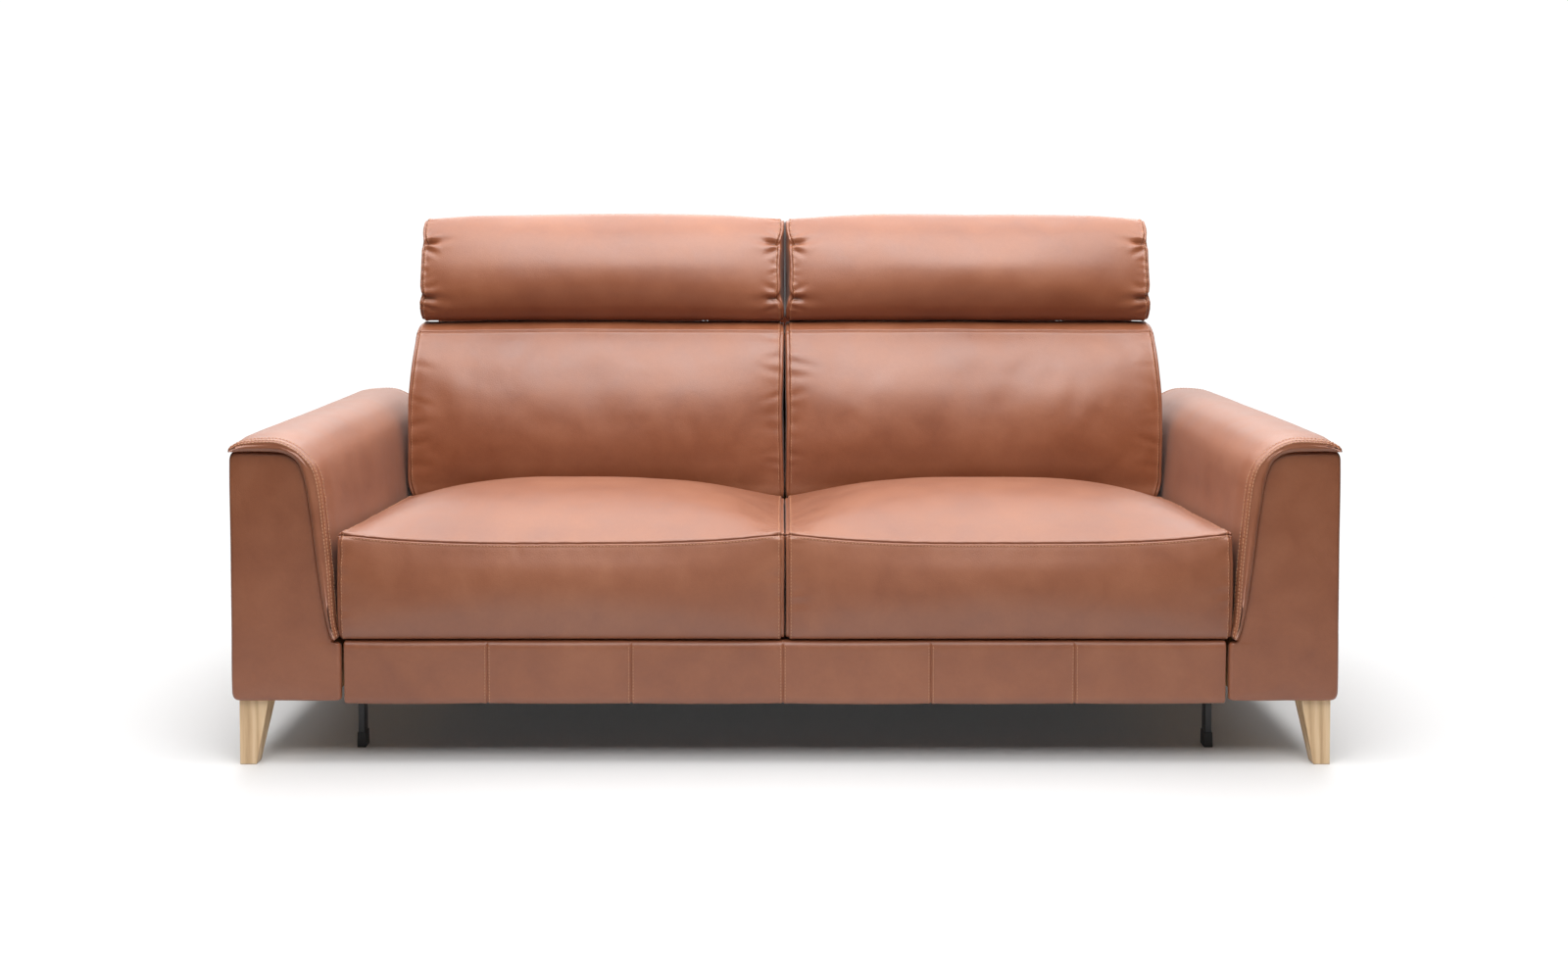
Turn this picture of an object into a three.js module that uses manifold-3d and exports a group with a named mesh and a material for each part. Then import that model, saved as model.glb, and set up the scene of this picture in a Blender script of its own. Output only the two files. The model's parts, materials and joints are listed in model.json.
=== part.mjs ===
// Two-seat leather sofa with raised, tilting headrests, wooden legs and two steel support legs.
// Millimetres, +X to the right, +Y to the rear, +Z up. The front of the sofa faces -Y.
// Everything is drawn with Y measured from the front face of the arms, and the whole group is
// then moved so that the origin is at the centre of the footprint, on the floor.
import * as THREE from "three";
import { mergeVertices } from "three/addons/utils/BufferGeometryUtils.js";
import Module from "manifold-3d";

const wasm = await Module();
wasm.setup();

// ---------------------------------------------------------------- driving dimensions
const WIDTH = 2000; // over the arms
const HALF = WIDTH / 2;
const DEPTH = 930; // arms, front face to rear face
const ROLL = 8; // how far the arm pad's sewn front edge stands ahead of the front face
const FACE_T = 20; // upholstered front and rear faces of an arm
const LEG_H = 118; // floor to the underside of the arms
const ARM_IN = 800; // half of the clear width between the arms, at the seat frame
const LEG_TOP = 53, LEG_FOOT = 30, LEG_INSET = 11.5; // square taper leg, vertical on its two outer faces
const RAIL_LO = 125, RAIL_HI = 217; // seat frame rails
const SEAT_FRONT = 4, SEAT_REAR = 598, SEAT_BASE = 230;
const SEAT_EDGE_Z = 421, SEAT_CROWN = 470;
const BACK_TOP = 757; // back cushion top, where the headrest sits
const HEAD_LO = 762, HEAD_HI = 1003; // headrest
const PIVOT_Y = 806, PIVOT_Z = 751; // headrest hinge axis
const HINGE_X = [-620, -180, 180, 620];
const GAP = 0.4; // face to face clearance between touching pieces
const SPRING_X = [-600, -400, -200, 200, 400, 600];

// ---------------------------------------------------------------- materials
const mat = (color, roughness, metalness = 0) =>
  new THREE.MeshStandardMaterial({ color, roughness, metalness });
const M = {
  leather: mat(0xa35a36, 0.42),
  ash: mat(0xd6b488, 0.5),
  pine: mat(0xc79b62, 0.7),
  plywood: mat(0xb98a55, 0.7),
  steelBlack: mat(0x16171a, 0.4, 0.7),
  plastic: mat(0x121212, 0.55),
  zinc: mat(0xb8babd, 0.35, 0.9),
  spring: mat(0x55585c, 0.4, 0.9),
  cloth: mat(0x1b1b1d, 0.95),
};

const sofa = new THREE.Group();
sofa.name = "sofa";
sofa.position.set(0, -(DEPTH - ROLL) / 2, 0);

function add(name, geometry, material) {
  const m = new THREE.Mesh(geometry, material);
  m.name = name;
  sofa.add(m);
  return m;
}

// ---------------------------------------------------------------- shape helpers
const shapeOf = (pts) => new THREE.Shape(pts.map(([a, b]) => new THREE.Vector2(a, b)));
const prism = (pts, depth) =>
  new THREE.ExtrudeGeometry(shapeOf(pts), { depth, bevelEnabled: false, curveSegments: 8 });
// polygon in X,Z swept from y0 to y1
const alongY = (pts, y0, y1) => prism(pts, y1 - y0).rotateX(Math.PI / 2).translate(0, y1, 0);
// polygon in Y,Z swept from x0 to x1
const YZX = new THREE.Matrix4().makeBasis(
  new THREE.Vector3(0, 1, 0), new THREE.Vector3(0, 0, 1), new THREE.Vector3(1, 0, 0));
const alongX = (pts, x0, x1) => prism(pts, x1 - x0).applyMatrix4(YZX).translate(x0, 0, 0);
const block = (x0, x1, y0, y1, z0, z1) =>
  new THREE.BoxGeometry(x1 - x0, y1 - y0, z1 - z0)
    .translate((x0 + x1) / 2, (y0 + y1) / 2, (z0 + z1) / 2);
const mirrorX = (pts) => pts.map(([x, z]) => [-x, z]).reverse();

function solid(geometry) {
  const g = (geometry.index ? geometry.toNonIndexed() : geometry.clone());
  for (const name of Object.keys(g.attributes)) if (name !== "position") g.deleteAttribute(name);
  const m = mergeVertices(g, 1e-3);
  return new wasm.Manifold(new wasm.Mesh({
    numProp: 3,
    vertProperties: new Float32Array(m.attributes.position.array),
    triVerts: new Uint32Array(m.index.array),
  }));
}
function geometryOf(manifold) {
  const m = manifold.getMesh();
  const v = new Float32Array(m.numVert * 3);
  for (let i = 0; i < m.numVert; i++)
    for (let k = 0; k < 3; k++) v[i * 3 + k] = m.vertProperties[i * m.numProp + k];
  const g = new THREE.BufferGeometry();
  g.setAttribute("position", new THREE.BufferAttribute(v, 3));
  g.setIndex(new THREE.BufferAttribute(new Uint32Array(m.triVerts), 1));
  return g;
}
const cut = (a, ...b) => geometryOf(b.reduce((s, g) => s.subtract(solid(g)), solid(a)));
const join = (a, ...b) => geometryOf(b.reduce((s, g) => s.add(solid(g)), solid(a)));

// A solid lofted along X: ring(t, x) gives the Y,Z outline (same point count each time).
function loftX(xs, ring) {
  const rings = xs.map((x) => ring(x));
  const n = rings[0].length;
  const pos = [], idx = [];
  rings.forEach((r, i) => r.forEach(([y, z]) => pos.push(xs[i], y, z)));
  for (let i = 0; i < xs.length - 1; i++)
    for (let j = 0; j < n; j++) {
      const k = (j + 1) % n, a = i * n + j, b = i * n + k, c = a + n, d = b + n;
      idx.push(a, b, d, a, d, c);
    }
  const flat = (r) => r.map(([y, z]) => new THREE.Vector2(y, z));
  THREE.ShapeUtils.triangulateShape(flat(rings[0]), []).forEach(([a, b, c]) => idx.push(a, c, b));
  const o = (xs.length - 1) * n;
  THREE.ShapeUtils.triangulateShape(flat(rings[xs.length - 1]), [])
    .forEach(([a, b, c]) => idx.push(o + a, o + b, o + c));
  const g = new THREE.BufferGeometry();
  g.setAttribute("position", new THREE.Float32BufferAttribute(pos, 3));
  g.setIndex(idx);
  // the outlines run anticlockwise in Y,Z; turn the faces round if the volume says so
  return solid(g).volume() < 0 ? flip(g) : g;
}
function flip(g) {
  const a = Array.from(g.index.array);
  for (let i = 0; i < a.length; i += 3) [a[i + 1], a[i + 2]] = [a[i + 2], a[i + 1]];
  g.setIndex(a);
  return g;
}
// Draws an outline in towards its centre by d at most.
function inset(pts, d) {
  const cy = pts.reduce((s, p) => s + p[0], 0) / pts.length;
  const cz = pts.reduce((s, p) => s + p[1], 0) / pts.length;
  return pts.map(([y, z]) => {
    const l = Math.hypot(y - cy, z - cz) || 1;
    return [y - ((y - cy) / l) * d, z - ((z - cz) / l) * d];
  });
}
// Stations across a cushion from a to b, closer together at its rounded ends, and how far each is drawn in.
const STATIONS = [[0, 16], [7, 6], [22, 1], [60, 0], [150, 0], [260, 0]];
function stations(a, b) {
  const left = STATIONS.map(([d, k]) => [a + d, k]);
  const right = STATIONS.map(([d, k]) => [b - d, k]).reverse();
  return [...left, ...right];
}
const crown = (x, a, b) => {
  const t = (2 * (x - a)) / (b - a) - 1;
  return 1 - t * t * t * t * 0.9;
};

// ---------------------------------------------------------------- arms
// Inner edge of the upholstered front face of an arm, from the rail up and over to the outside (X measured inwards from the centre line).
const GROOVE = [
  [801.5, LEG_H], [801.5, 222], [817, 227], [838, 325], [845.5, 395], [853.5, 466],
  [861, 510], [868, 536], [876.5, 554], [894.5, 566], [914, 570], [HALF, 572],
];
// Outer surface of the pad that wraps the inside and the top of the arm.
const PAD = [
  [803.5, 229], [808, 245], [810.5, 325], [813, 395], [827, 466], [831.5, 501], [836, 522], [843.5, 540.5],
  [852, 557.5], [862.5, 569], [875.5, 581], [890, 588.5], [905, 592.5], [928, 595.5], [949, 595.5],
  [972, 592], [990, 584], [HALF, 573],
];
const INNER = [ // the pad's inner face, 0.5 mm off the groove line
  [998.5, 572.8], [914, 570.8], [894, 567], [875.6, 554.9], [866.9, 536.2], [859.9, 510],
  [852.6, 466], [844.6, 395], [837.1, 325], [816.6, 230.5],
];
for (const [side, s] of [["left", -1], ["right", 1]]) {
  const at = (pts) => (s < 0 ? mirrorX(pts) : pts);
  const padX = (a, b) => (s < 0 ? [-b, -a] : [a, b]);
  // outer cover: front face, outside and rear face, one C-shaped upholstered shell
  const face = at([...GROOVE, [HALF, LEG_H]]);
  const [ox0, ox1] = padX(HALF - 12.5, HALF);
  add(`arm_cover_${side}`, join(
    alongY(face, 0, FACE_T), alongY(face, DEPTH - FACE_T, DEPTH), block(ox0, ox1, 10, DEPTH - 10, LEG_H, 572)), M.leather);
  // the folded pad over the top and the inside
  add(`arm_pad_${side}`, alongY(at([...PAD, ...INNER]), -ROLL, DEPTH - 1), M.leather);
  // wooden carcass
  const [px0, px1] = padX(HALF - 28, HALF - 13);
  add(`arm_outer_panel_${side}`, block(px0, px1, FACE_T + 0.6, DEPTH - FACE_T - 0.6, LEG_H + 6, 566), M.plywood);
  const inner = [[818, 124], [833, 124], [885, 532], [870, 532]];
  add(`arm_inner_panel_${side}`, alongY(at(inner), FACE_T + 0.6, DEPTH - FACE_T - 0.6), M.plywood);
  const post = [[833.8, LEG_H + GAP], [971.5, LEG_H + GAP], [971.5, 566], [893, 562], [887, 545], [885.8, 532]];
  const bolt = (y) => new THREE.CylinderGeometry(4.7, 4.7, 60, 12).rotateX(Math.PI / 2)
    .translate(s * (HALF - LEG_INSET - LEG_TOP / 2), y, LEG_H + 10);
  const fy = LEG_INSET + LEG_TOP / 2, ry = DEPTH - fy;
  add(`arm_front_post_${side}`, cut(alongY(at(post), FACE_T + 0.6, 76), bolt(fy)), M.pine);
  add(`arm_rear_post_${side}`, cut(alongY(at(post), DEPTH - 76, DEPTH - FACE_T - 0.6), bolt(ry)), M.pine);
}

// ---------------------------------------------------------------- wooden legs
// A square leg, straight on its two outer faces and tapered on the other two, with its hanger bolt.
function leg(sx, sy) {
  const X = (v) => sx * (HALF - LEG_INSET - v);
  const Y = (v) => (sy < 0 ? LEG_INSET + v : DEPTH - LEG_INSET - v);
  const top = LEG_H - GAP;
  const ring = (w, z) => [[0, 0], [w, 0], [w, w], [0, w]].map(([a, b]) => [X(a), Y(b), z]);
  const levels = [ring(LEG_FOOT - 3, 0), ring(LEG_FOOT, 3), ring(LEG_TOP, top)];
  // chamfer at the foot on all four sides
  levels[0] = [[3, 3], [LEG_FOOT - 2, 3], [LEG_FOOT - 2, LEG_FOOT - 2], [3, LEG_FOOT - 2]].map(([a, b]) => [X(a), Y(b), 0]);
  const pos = levels.flat(2), idx = [];
  for (let l = 0; l < 2; l++)
    for (let j = 0; j < 4; j++) {
      const k = (j + 1) % 4, a = l * 4 + j, b = l * 4 + k;
      idx.push(a, b, b + 4, a, b + 4, a + 4);
    }
  idx.push(0, 2, 1, 0, 3, 2, 8, 9, 10, 8, 10, 11);
  const g = new THREE.BufferGeometry();
  g.setAttribute("position", new THREE.Float32BufferAttribute(pos, 3));
  g.setIndex(idx);
  const body = solid(g).volume() < 0 ? flip(g) : g;
  const bolt = new THREE.CylinderGeometry(4, 4, 42, 12).rotateX(Math.PI / 2)
    .translate(X(LEG_TOP / 2), Y(LEG_TOP / 2), LEG_H + 10);
  return join(body, bolt);
}
add("leg_front_left", leg(-1, -1), M.ash);
add("leg_front_right", leg(1, -1), M.ash);
add("leg_rear_left", leg(-1, 1), M.ash);
add("leg_rear_right", leg(1, 1), M.ash);

// ---------------------------------------------------------------- seat frame
const RAIL_X = 790, RAIL_T = 45; // outside of the side rails, rail thickness
add("seat_rail_front", block(-RAIL_X, RAIL_X, 22, 62, RAIL_LO, RAIL_HI), M.pine);
add("seat_rail_rear", block(-744, 744, 560, 605, RAIL_LO, RAIL_HI), M.pine);
add("seat_rail_centre", block(-22, 22, 62 + GAP, 560 - GAP, RAIL_LO, RAIL_HI), M.pine);
add("seat_rail_left", block(-RAIL_X, -RAIL_X + RAIL_T, 62 + GAP, 905, RAIL_LO, RAIL_HI), M.pine);
add("seat_rail_right", block(RAIL_X - RAIL_T, RAIL_X, 62 + GAP, 905, RAIL_LO, RAIL_HI), M.pine);

// Upholstered front rail cover: wraps the rail's front, underside and top edge.
const FASCIA = [
  [4, 116], [8, 112], [60, 112], [60, 124.4], [21.2, 124.4], [21.2, 217.5], [42, 217.5], [42, 227], [8, 227], [4, 223],
];
add("front_rail_cover", alongX(FASCIA, -797, 797), M.leather);

// Zigzag seat springs, front rail to rear rail.
function spring(x) {
  const pts = [], n = 11, y0 = 50, y1 = 592, w = 26;
  pts.push(new THREE.Vector3(x - w, y0, 0));
  for (let i = 0; i <= n; i++) {
    const y = y0 + ((y1 - y0) * i) / n, d = i % 2 ? -1 : 1;
    pts.push(new THREE.Vector3(x - d * w, y + 6, 0), new THREE.Vector3(x + d * w, y + 6, 0));
    if (i === n) break;
  }
  const path = new THREE.CatmullRomCurve3(pts, false, "catmullrom", 0.35);
  const r = 1.9, ring = [];
  for (let i = 0; i < 6; i++) ring.push([r * Math.cos((i * Math.PI) / 3), r * Math.sin((i * Math.PI) / 3)]);
  return new THREE.ExtrudeGeometry(shapeOf(ring), { steps: 92, extrudePath: path, bevelEnabled: false })
    .translate(0, -3, 221);
}
SPRING_X.forEach((x, i) =>
  add(`seat_spring_${i < 3 ? "left" : "right"}_${(i % 3) + 1}`, spring(x), M.spring));

add("base_dust_cover", block(-738, 738, 64, 900, 121.5, 123.5), M.cloth);

// ---------------------------------------------------------------- steel support legs
for (const [side, s] of [["left", -1], ["right", 1]]) {
  const cx = s * 793, y0 = 112, y1 = 138;
  const bar = block(cx - 6, cx + 6, y0, y1, 10, 123);
  // the top tab lies under the side rail
  const tab = s < 0 ? block(cx - 6, cx + 38, y0 - 12, y1 + 12, 120, 124.6) : block(cx - 38, cx + 6, y0 - 12, y1 + 12, 120, 124.6);
  add(`support_leg_${side}`, join(bar, tab), M.steelBlack);
  const boot = block(cx - 8, cx + 8, y0 - 2, y1 + 2, 0, 28);
  add(`support_foot_${side}`, cut(boot, block(cx - 6.4, cx + 6.4, y0 - 0.4, y1 + 0.4, 9.6, 40)), M.plastic);
}

// ---------------------------------------------------------------- seat cushions
// Side outline of a seat cushion at a station, with its crowned top.
function seatRing(x, a, b) {
  const c = crown(x, a, b);
  const up = (lo, hi) => lo + (hi - lo) * c;
  return [
    [SEAT_FRONT + 10, SEAT_BASE], [SEAT_REAR, SEAT_BASE], [SEAT_REAR, 330], [SEAT_REAR - 8, up(388, 405)],
    [SEAT_REAR - 60, up(404, 434)], [440, up(416, 451)], [345, up(421, SEAT_CROWN - 4)], [250, up(423, SEAT_CROWN)],
    [170, up(424, 465)], [90, up(423, 449)], [30, up(420, 427)], [SEAT_FRONT + 7, up(SEAT_EDGE_Z, 404)], [SEAT_FRONT, 385],
    [SEAT_FRONT - 4, 330], [SEAT_FRONT - 3, 262], [SEAT_FRONT, 238],
  ];
}
for (const [side, a, b] of [["left", -803, -2.5], ["right", 2.5, 803]]) {
  const st = stations(a, b);
  add(`seat_cushion_${side}`, loftX(st.map((p) => p[0]), (x) => {
    const k = st.find((p) => p[0] === x)[1];
    return inset(seatRing(x, a, b), k);
  }), M.leather);
}

// ---------------------------------------------------------------- back frame
const POST_Y0 = 850, POST_Y1 = 905;
add("back_rail_bottom", block(-744, 744, POST_Y0, POST_Y1, RAIL_LO, RAIL_HI), M.pine);
add("back_post_left", block(-785, -785 + RAIL_T, POST_Y0, POST_Y1, RAIL_HI + GAP, 699.6), M.pine);
add("back_post_right", block(785 - RAIL_T, 785, POST_Y0, POST_Y1, RAIL_HI + GAP, 699.6), M.pine);
add("back_post_centre", block(-22, 22, POST_Y0, POST_Y1, RAIL_HI + GAP, 699.6), M.pine);
add("back_rail_top", block(-784, 784, 782, POST_Y1, 700, 722), M.pine);
add("back_support_panel", block(-782, 782, 842, 849, 260, 698), M.plywood);

// Upholstered outside of the back: rear panel, sides above the arms and the top, with a slot for each headrest hinge.
const CHEEK_HI = 755;
const TOP_LO = 723, TOP_HI = 735, REAR_HI = 768, RIDGE_Y = 850;
const rear = block(-797, 797, DEPTH - 18, DEPTH - 2, LEG_H + 2, REAR_HI);
const roof = block(-797, 797, 779, DEPTH - 10, TOP_LO, TOP_HI);
const ridge = block(-797, 797, RIDGE_Y, DEPTH - 10, TOP_LO + 4, REAR_HI); // stands behind the foot of the headrests
const wings = [-1, 1].map((s) => block(Math.min(s * 786, s * 797), Math.max(s * 786, s * 797), 838, DEPTH - 10, 240, TOP_HI - 2));
const cheeks = [-1, 1].map((s) => block(Math.min(s * 786, s * 797), Math.max(s * 786, s * 797), 780, RIDGE_Y + 4, TOP_LO + 4, CHEEK_HI)); // close the ends of the hinge trough
const slots = HINGE_X.map((x) => block(x - 25, x + 25, 770, 834, TOP_LO - 5, TOP_HI + 5));
add("back_outer_cover", cut(join(rear, roof, ridge, ...wings, ...cheeks), ...slots), M.leather);

// ---------------------------------------------------------------- back cushions
function backRing(x, a, b) {
  const c = crown(x, a, b);
  const f = (edge, mid) => edge + (mid - edge) * c;
  return [
    [603, 235], [834, 235], [834, 690], [776, 697], [775, 742], [755, BACK_TOP], [715, BACK_TOP], [f(684, 676), 741],
    [f(656, 642), 704], [f(631, 612), 648], [f(618, 592), 580], [f(611, 585), 512], [603, 452], [603, 430],
  ];
}
const BACK_SIDE = 812; // the cushion spreads over the arms' sloping inner sides above this height:
const SPREAD_Z = 392;
for (const [side, a, b] of [["left", -BACK_SIDE, -2.5], ["right", 2.5, BACK_SIDE]]) {
  const st = stations(a, b);
  add(`back_cushion_${side}`, loftX(st.map((p) => p[0]), (x) => {
    const k = st.find((p) => p[0] === x)[1];
    const ring = inset(backRing(x, a, b), k * 0.7);
    return Math.abs(x) > BACK_SIDE - 10 ? ring.map(([y, z]) => [y, Math.max(z, SPREAD_Z - (BACK_SIDE - Math.abs(x)) * 2)]) : ring;
  }), M.leather);
}

// ---------------------------------------------------------------- headrests
function headRing(x, a, b) {
  const c = crown(x, a, b);
  const f = (edge, mid) => edge + (mid - edge) * c;
  return [
    [696, HEAD_LO], [795, HEAD_LO], [803, 775], [808, 850], [812, 925], [f(804, 806), f(965, 975)],
    [f(786, 786), f(984, HEAD_HI - 6)], [f(757, 757), f(988, HEAD_HI)], [f(736, 733), f(982, HEAD_HI - 8)], [f(714, 706), f(960, 970)],
    [f(694, 681), f(918, 928)], [f(677, 659), 870], [f(672, 654), 828], [f(680, 668), 788],
  ];
}
const BOARD = { y0: 770, y1: 782, z0: 778, z1: 955, half: 345 };
// flat steel arm in the Y,Z plane: an eye on the pivot and a strap up the back of the board
const ARM = [[782.6, 776], [782.6, 868], [792, 868], [792, 778], [797, 766], [812, 760], [817, 752], [813, 743], [806, 740.5], [799, 742.5], [790, 757], [782.6, 768]];
for (const [side, a, b, hx] of [["left", -798, -2.5, HINGE_X.slice(0, 2)], ["right", 2.5, 798, HINGE_X.slice(2)]]) {
  const st = stations(a, b), cx = (a + b) / 2;
  const body = loftX(st.map((p) => p[0]), (x) => {
    const k = st.find((p) => p[0] === x)[1];
    return inset(headRing(x, a, b), k * 0.7);
  });
  const slot = block(cx - BOARD.half - 0.5, cx + BOARD.half + 0.5, BOARD.y0 - 0.5, BOARD.y1 + 0.5, HEAD_LO - 20, BOARD.z1 + 0.5);
  const pockets = hx.map((x) => block(x - 8, x + 8, BOARD.y1, 793.5, HEAD_LO - 20, 870));
  const mouths = hx.map((x) => block(x - 11, x + 11, 776, 830, HEAD_LO - 20, 775));
  add(`headrest_cushion_${side}`, cut(body, slot, ...pockets, ...mouths), M.leather);
  add(`headrest_board_${side}`, block(cx - BOARD.half, cx + BOARD.half, BOARD.y0, BOARD.y1, BOARD.z0, BOARD.z1), M.plywood);
  hx.forEach((x, i) => {
    const tag = `${side}_${i + 1}`;
    const bore = (r) => new THREE.CylinderGeometry(r, r, 60, 16).rotateZ(Math.PI / 2).translate(x, PIVOT_Y, PIVOT_Z);
    add(`hinge_arm_${tag}`, cut(alongX(ARM, x - 2.5, x + 2.5), bore(4.35)), M.zinc);
    const ear = [[794, 722.6], [818, 722.6], [818, 750], [814.5, 759], [806, 762.5], [797.5, 759], [794, 750]];
    const plate = block(x - 21, x + 21, 786, 828, 722.4, 726);
    add(`hinge_base_${tag}`, cut(join(plate, alongX(ear, x - 6.2, x - 3.1), alongX(ear, x + 3.1, x + 6.2)), bore(4.35)), M.zinc);
    const pin = [[0, -9.2], [5.8, -9.2], [6.5, -8.2], [6.5, -6.6], [4, -6.6], [4, 6.6], [6.5, 6.6], [6.5, 8.2], [5.8, 9.2], [0, 9.2]]
      .map(([r, h]) => new THREE.Vector2(r, h));
    add(`hinge_pin_${tag}`, new THREE.LatheGeometry(pin, 16).rotateZ(Math.PI / 2).translate(x, PIVOT_Y, PIVOT_Z), M.zinc);
  });
}

export default sofa;
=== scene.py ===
import json
import math
import bpy
import bmesh
import numpy as np
from mathutils import Vector, Matrix


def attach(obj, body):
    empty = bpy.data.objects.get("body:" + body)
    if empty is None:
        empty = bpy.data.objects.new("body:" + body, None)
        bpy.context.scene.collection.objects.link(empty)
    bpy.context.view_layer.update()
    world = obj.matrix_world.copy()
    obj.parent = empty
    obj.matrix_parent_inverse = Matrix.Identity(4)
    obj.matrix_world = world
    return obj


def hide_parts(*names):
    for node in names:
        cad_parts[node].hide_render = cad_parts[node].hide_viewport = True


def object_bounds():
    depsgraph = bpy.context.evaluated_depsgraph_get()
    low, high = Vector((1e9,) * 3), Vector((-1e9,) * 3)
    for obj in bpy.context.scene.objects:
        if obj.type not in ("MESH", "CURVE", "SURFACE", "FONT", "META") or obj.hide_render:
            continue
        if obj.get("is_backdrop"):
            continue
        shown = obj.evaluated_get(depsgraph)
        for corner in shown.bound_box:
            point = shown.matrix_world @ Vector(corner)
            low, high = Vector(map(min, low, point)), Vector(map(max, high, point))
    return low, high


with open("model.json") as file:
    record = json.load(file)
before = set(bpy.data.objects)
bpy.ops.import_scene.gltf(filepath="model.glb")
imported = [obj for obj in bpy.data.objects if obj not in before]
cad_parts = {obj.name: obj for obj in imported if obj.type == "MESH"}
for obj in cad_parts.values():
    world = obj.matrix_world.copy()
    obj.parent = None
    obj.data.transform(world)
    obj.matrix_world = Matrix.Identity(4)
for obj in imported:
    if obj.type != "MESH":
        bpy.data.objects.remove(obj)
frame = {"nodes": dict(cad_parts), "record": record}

CAD_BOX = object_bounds()
NODES = frame["nodes"]
OFF = 461.0            # the front face of the arms is this far ahead of the origin, in mm


def rng_of(seed):
    return np.random.default_rng(seed)


# =====================================================================================
# materials
# =====================================================================================
def new_mat(name):
    m = bpy.data.materials.new(name)
    m.use_nodes = True
    nt = m.node_tree
    nt.nodes.clear()
    out = nt.nodes.new("ShaderNodeOutputMaterial")
    b = nt.nodes.new("ShaderNodeBsdfPrincipled")
    nt.links.new(b.outputs["BSDF"], out.inputs["Surface"])
    return m, nt, b


def node(nt, kind, **kw):
    n = nt.nodes.new(kind)
    for k, v in kw.items():
        if hasattr(n, k):
            setattr(n, k, v)
        else:
            n.inputs[k].default_value = v
    return n


def coords(nt, scale=(1, 1, 1)):
    tc = nt.nodes.new("ShaderNodeTexCoord")
    mp = nt.nodes.new("ShaderNodeMapping")
    mp.inputs["Scale"].default_value = scale
    nt.links.new(tc.outputs["Object"], mp.inputs["Vector"])
    return mp.outputs["Vector"]


def noise_tex(nt, vec, scale, detail=3.0, rough=0.5, distort=0.0):
    n = nt.nodes.new("ShaderNodeTexNoise")
    n.inputs["Scale"].default_value = scale
    n.inputs["Detail"].default_value = detail
    n.inputs["Roughness"].default_value = rough
    n.inputs["Distortion"].default_value = distort
    nt.links.new(vec, n.inputs["Vector"])
    return n.outputs["Fac"]


def ramp(nt, fac, stops, interp="LINEAR"):
    r = nt.nodes.new("ShaderNodeValToRGB")
    r.color_ramp.interpolation = interp
    els = r.color_ramp.elements
    while len(els) < len(stops):
        els.new(0.5)
    for e, (p, c) in zip(els, stops):
        e.position = p
        e.color = (c[0], c[1], c[2], 1.0) if hasattr(c, "__len__") else (c, c, c, 1.0)
    nt.links.new(fac, r.inputs["Fac"])
    return r.outputs["Color"]


def math_n(nt, op, a, b=None, clamp=False):
    n = nt.nodes.new("ShaderNodeMath")
    n.operation = op
    n.use_clamp = clamp
    for i, v in enumerate((a, b)):
        if v is None:
            continue
        if isinstance(v, (int, float)):
            n.inputs[i].default_value = v
        else:
            nt.links.new(v, n.inputs[i])
    return n.outputs[0]


def mix_col(nt, fac, a, b, mode="MIX"):
    n = nt.nodes.new("ShaderNodeMix")
    n.data_type = "RGBA"
    n.blend_type = mode
    for sock, v in ((n.inputs[0], fac), (n.inputs[6], a), (n.inputs[7], b)):
        if isinstance(v, (int, float)):
            sock.default_value = v
        elif isinstance(v, tuple):
            sock.default_value = (*v, 1.0) if len(v) == 3 else v
        else:
            nt.links.new(v, sock)
    return n.outputs[2]


def bump(nt, height, strength, distance, normal=None):
    n = nt.nodes.new("ShaderNodeBump")
    n.inputs["Strength"].default_value = strength
    n.inputs["Distance"].default_value = distance
    nt.links.new(height, n.inputs["Height"])
    if normal is not None:
        nt.links.new(normal, n.inputs["Normal"])
    return n.outputs["Normal"]


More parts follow.
